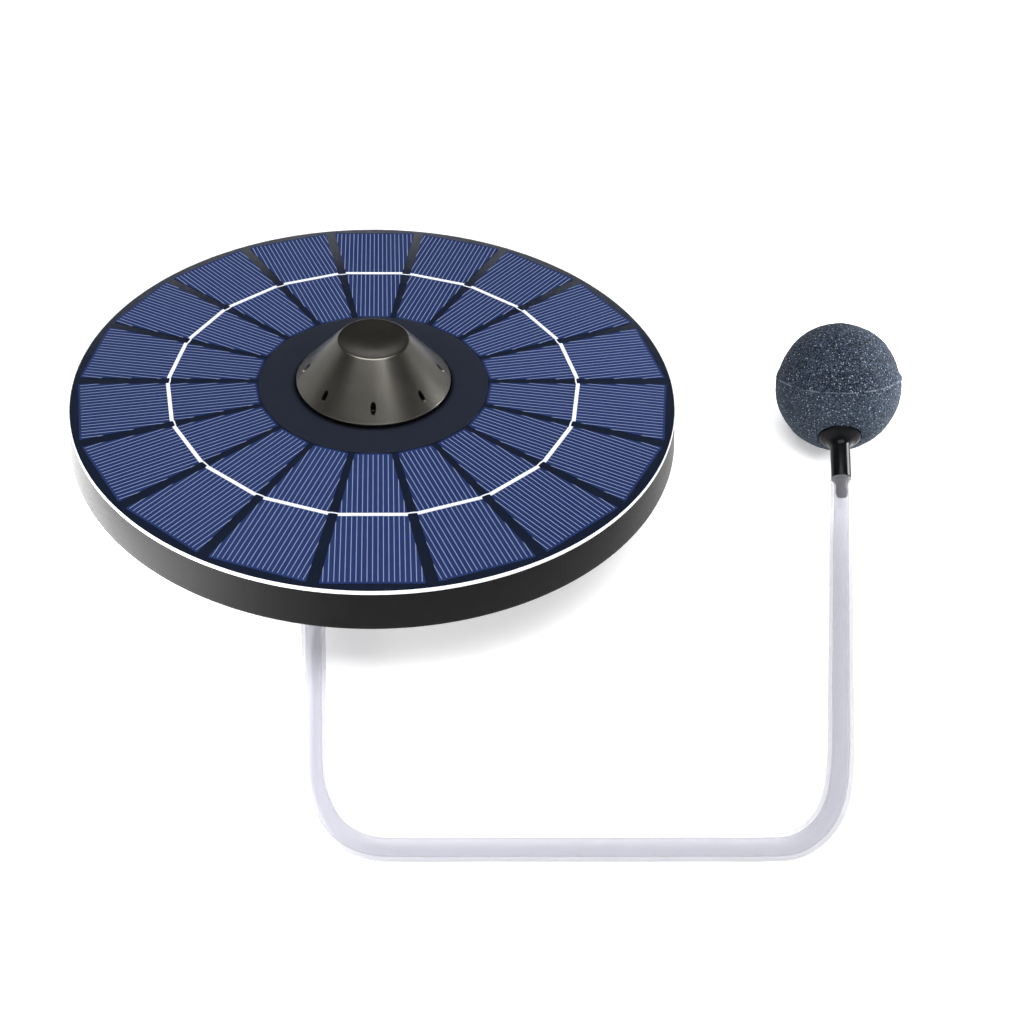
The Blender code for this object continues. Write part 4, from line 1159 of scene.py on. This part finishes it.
def make_housing():
    outline = [
        (HOUSING_RIM, HOUSING_HIGH),
        (HOUSING_RIM, 0.0181),
        (0.0364, 0.0175),
        (0.0325, 0.0172),
        (0.0312, 0.0074),
        (0.03155, 0.0072),
        (0.03150, 0.0060),
        (0.0311, 0.0058),
        (0.0310, HOUSING_LOW),
        (HOUSING_BORE, HOUSING_LOW),
        (HOUSING_BORE, HOUSING_HIGH),
    ]
    profile = rounded(outline, 0.0004, 4, closed=True)
    points, faces = turned_faces(profile, HOUSING_STEPS, closed=True)
    boss = [
        (0.0, BOSS_FACE),
        (BOSS_RADIUS - 0.0002, BOSS_FACE),
        (BOSS_RADIUS, BOSS_FACE - 0.0003),
        (BOSS_RADIUS, 0.0290),
        (BOSS_ROOT, 0.0272),
        (BOSS_ROOT, BOSS_BACK),
        (0.0, BOSS_BACK),
    ]
    place = along_minus_y(BARB_X, BARB_Z)
    boss_points, boss_faces = turned_faces(rounded(boss, 0.0006, 4), 56)
    first = len(points)
    points += [tuple(place @ Vector(point)) for point in boss_points]
    faces += [tuple(first + corner for corner in face) for face in boss_faces]
    housing = mesh_object("housing_shell", points, faces, FINISHES["black_plastic"])
    settle(housing, "hull", "black_plastic", "pump_housing")

    cover_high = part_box("base_cover")[1].z
    cover = [
        (0.0, cover_high),
        (COVER_RADIUS, cover_high),
        (COVER_RADIUS, COVER_EDGE + 0.0005),
        (COVER_RADIUS - 0.0005, COVER_EDGE),
        (FOOT_OUTER + 0.0004, COVER_EDGE),
        (FOOT_OUTER, 0.0),
        (FOOT_INNER, 0.0),
        (FOOT_INNER - 0.0003, FOOT_HEIGHT),
        (0.0, FOOT_HEIGHT),
    ]
    turned_piece(
        "bottom_cover", "black_plastic", "base_cover", cover, 0.0004, HOUSING_STEPS, closed=False
    )


def make_screws():
    """Pan-head screws with a six-sided socket."""
    for index in range(SCREW_COUNT):
        name = f"cover_screw_{index + 1}"
        low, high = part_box(name)
        centre = (low + high) / 2
        outline = [
            (0.0, high.z),
            (0.0008, high.z),
            (SHANK_RADIUS, high.z - 0.0006),
            (SHANK_RADIUS, low.z + HEAD_HEIGHT),
            (HEAD_RADIUS, low.z + HEAD_HEIGHT),
            (HEAD_RADIUS, low.z + 0.0003),
            (0.0016, low.z),
            (0.0, low.z),
        ]
        place = Matrix.Translation((centre.x, centre.y, 0.0))
        profile = rounded(outline, 0.0003, 3)
        screw = turned(f"screw_{index + 1}", profile, FINISHES["steel"], 40, place=place)
        tool = [
            (0.0, SOCKET_DEPTH),
            (SOCKET_RADIUS, SOCKET_DEPTH),
            (SOCKET_RADIUS, -SOCKET_DEPTH),
            (0.0, -SOCKET_DEPTH),
        ]
        cut(screw, turned("socket", tool, FINISHES["steel"], 6, place=place))
        settle(screw, "hull", "steel", name)


def make_outlet():
    """The barb that the hose is pushed over, with a collar that stops it."""
    outline = [
        (OUTLET_BORE, OUTLET_BACK),
        (OUTLET_BORE, OUTLET_TIP),
        (0.00150, OUTLET_TIP),
        (OUTLET_TOOTH, 0.0412),
        (OUTLET_ROOT, 0.0410),
        (OUTLET_ROOT, 0.0394),
        (OUTLET_TOOTH, 0.0380),
        (0.00170, 0.0378),
        (0.00170, -BARB_FACE_Y),
        (OUTLET_FLANGE - 0.0003, -BARB_FACE_Y),
        (OUTLET_FLANGE, -BARB_FACE_Y - 0.0004),
        (OUTLET_FLANGE, BOSS_FACE + 0.0002),
        (OUTLET_SHANK, BOSS_FACE + 0.0002),
        (OUTLET_SHANK, OUTLET_BACK),
    ]
    place = along_minus_y(BARB_X, BARB_Z)
    turned_piece(
        "hose_barb", "black_plastic", "outlet_barb", outline, 0.00015, 64, segments=3, place=place
    )


# ------------------------ the whole object
make_camera()
make_studio()
FINISHES = make_finishes()
make_hose(make_stone(), make_stem())
make_hull()
make_board()
make_cells()
make_busbar()
make_hub()
make_cap()
make_intake()
make_housing()
make_screws()
make_outlet()
finish_cad_parts()
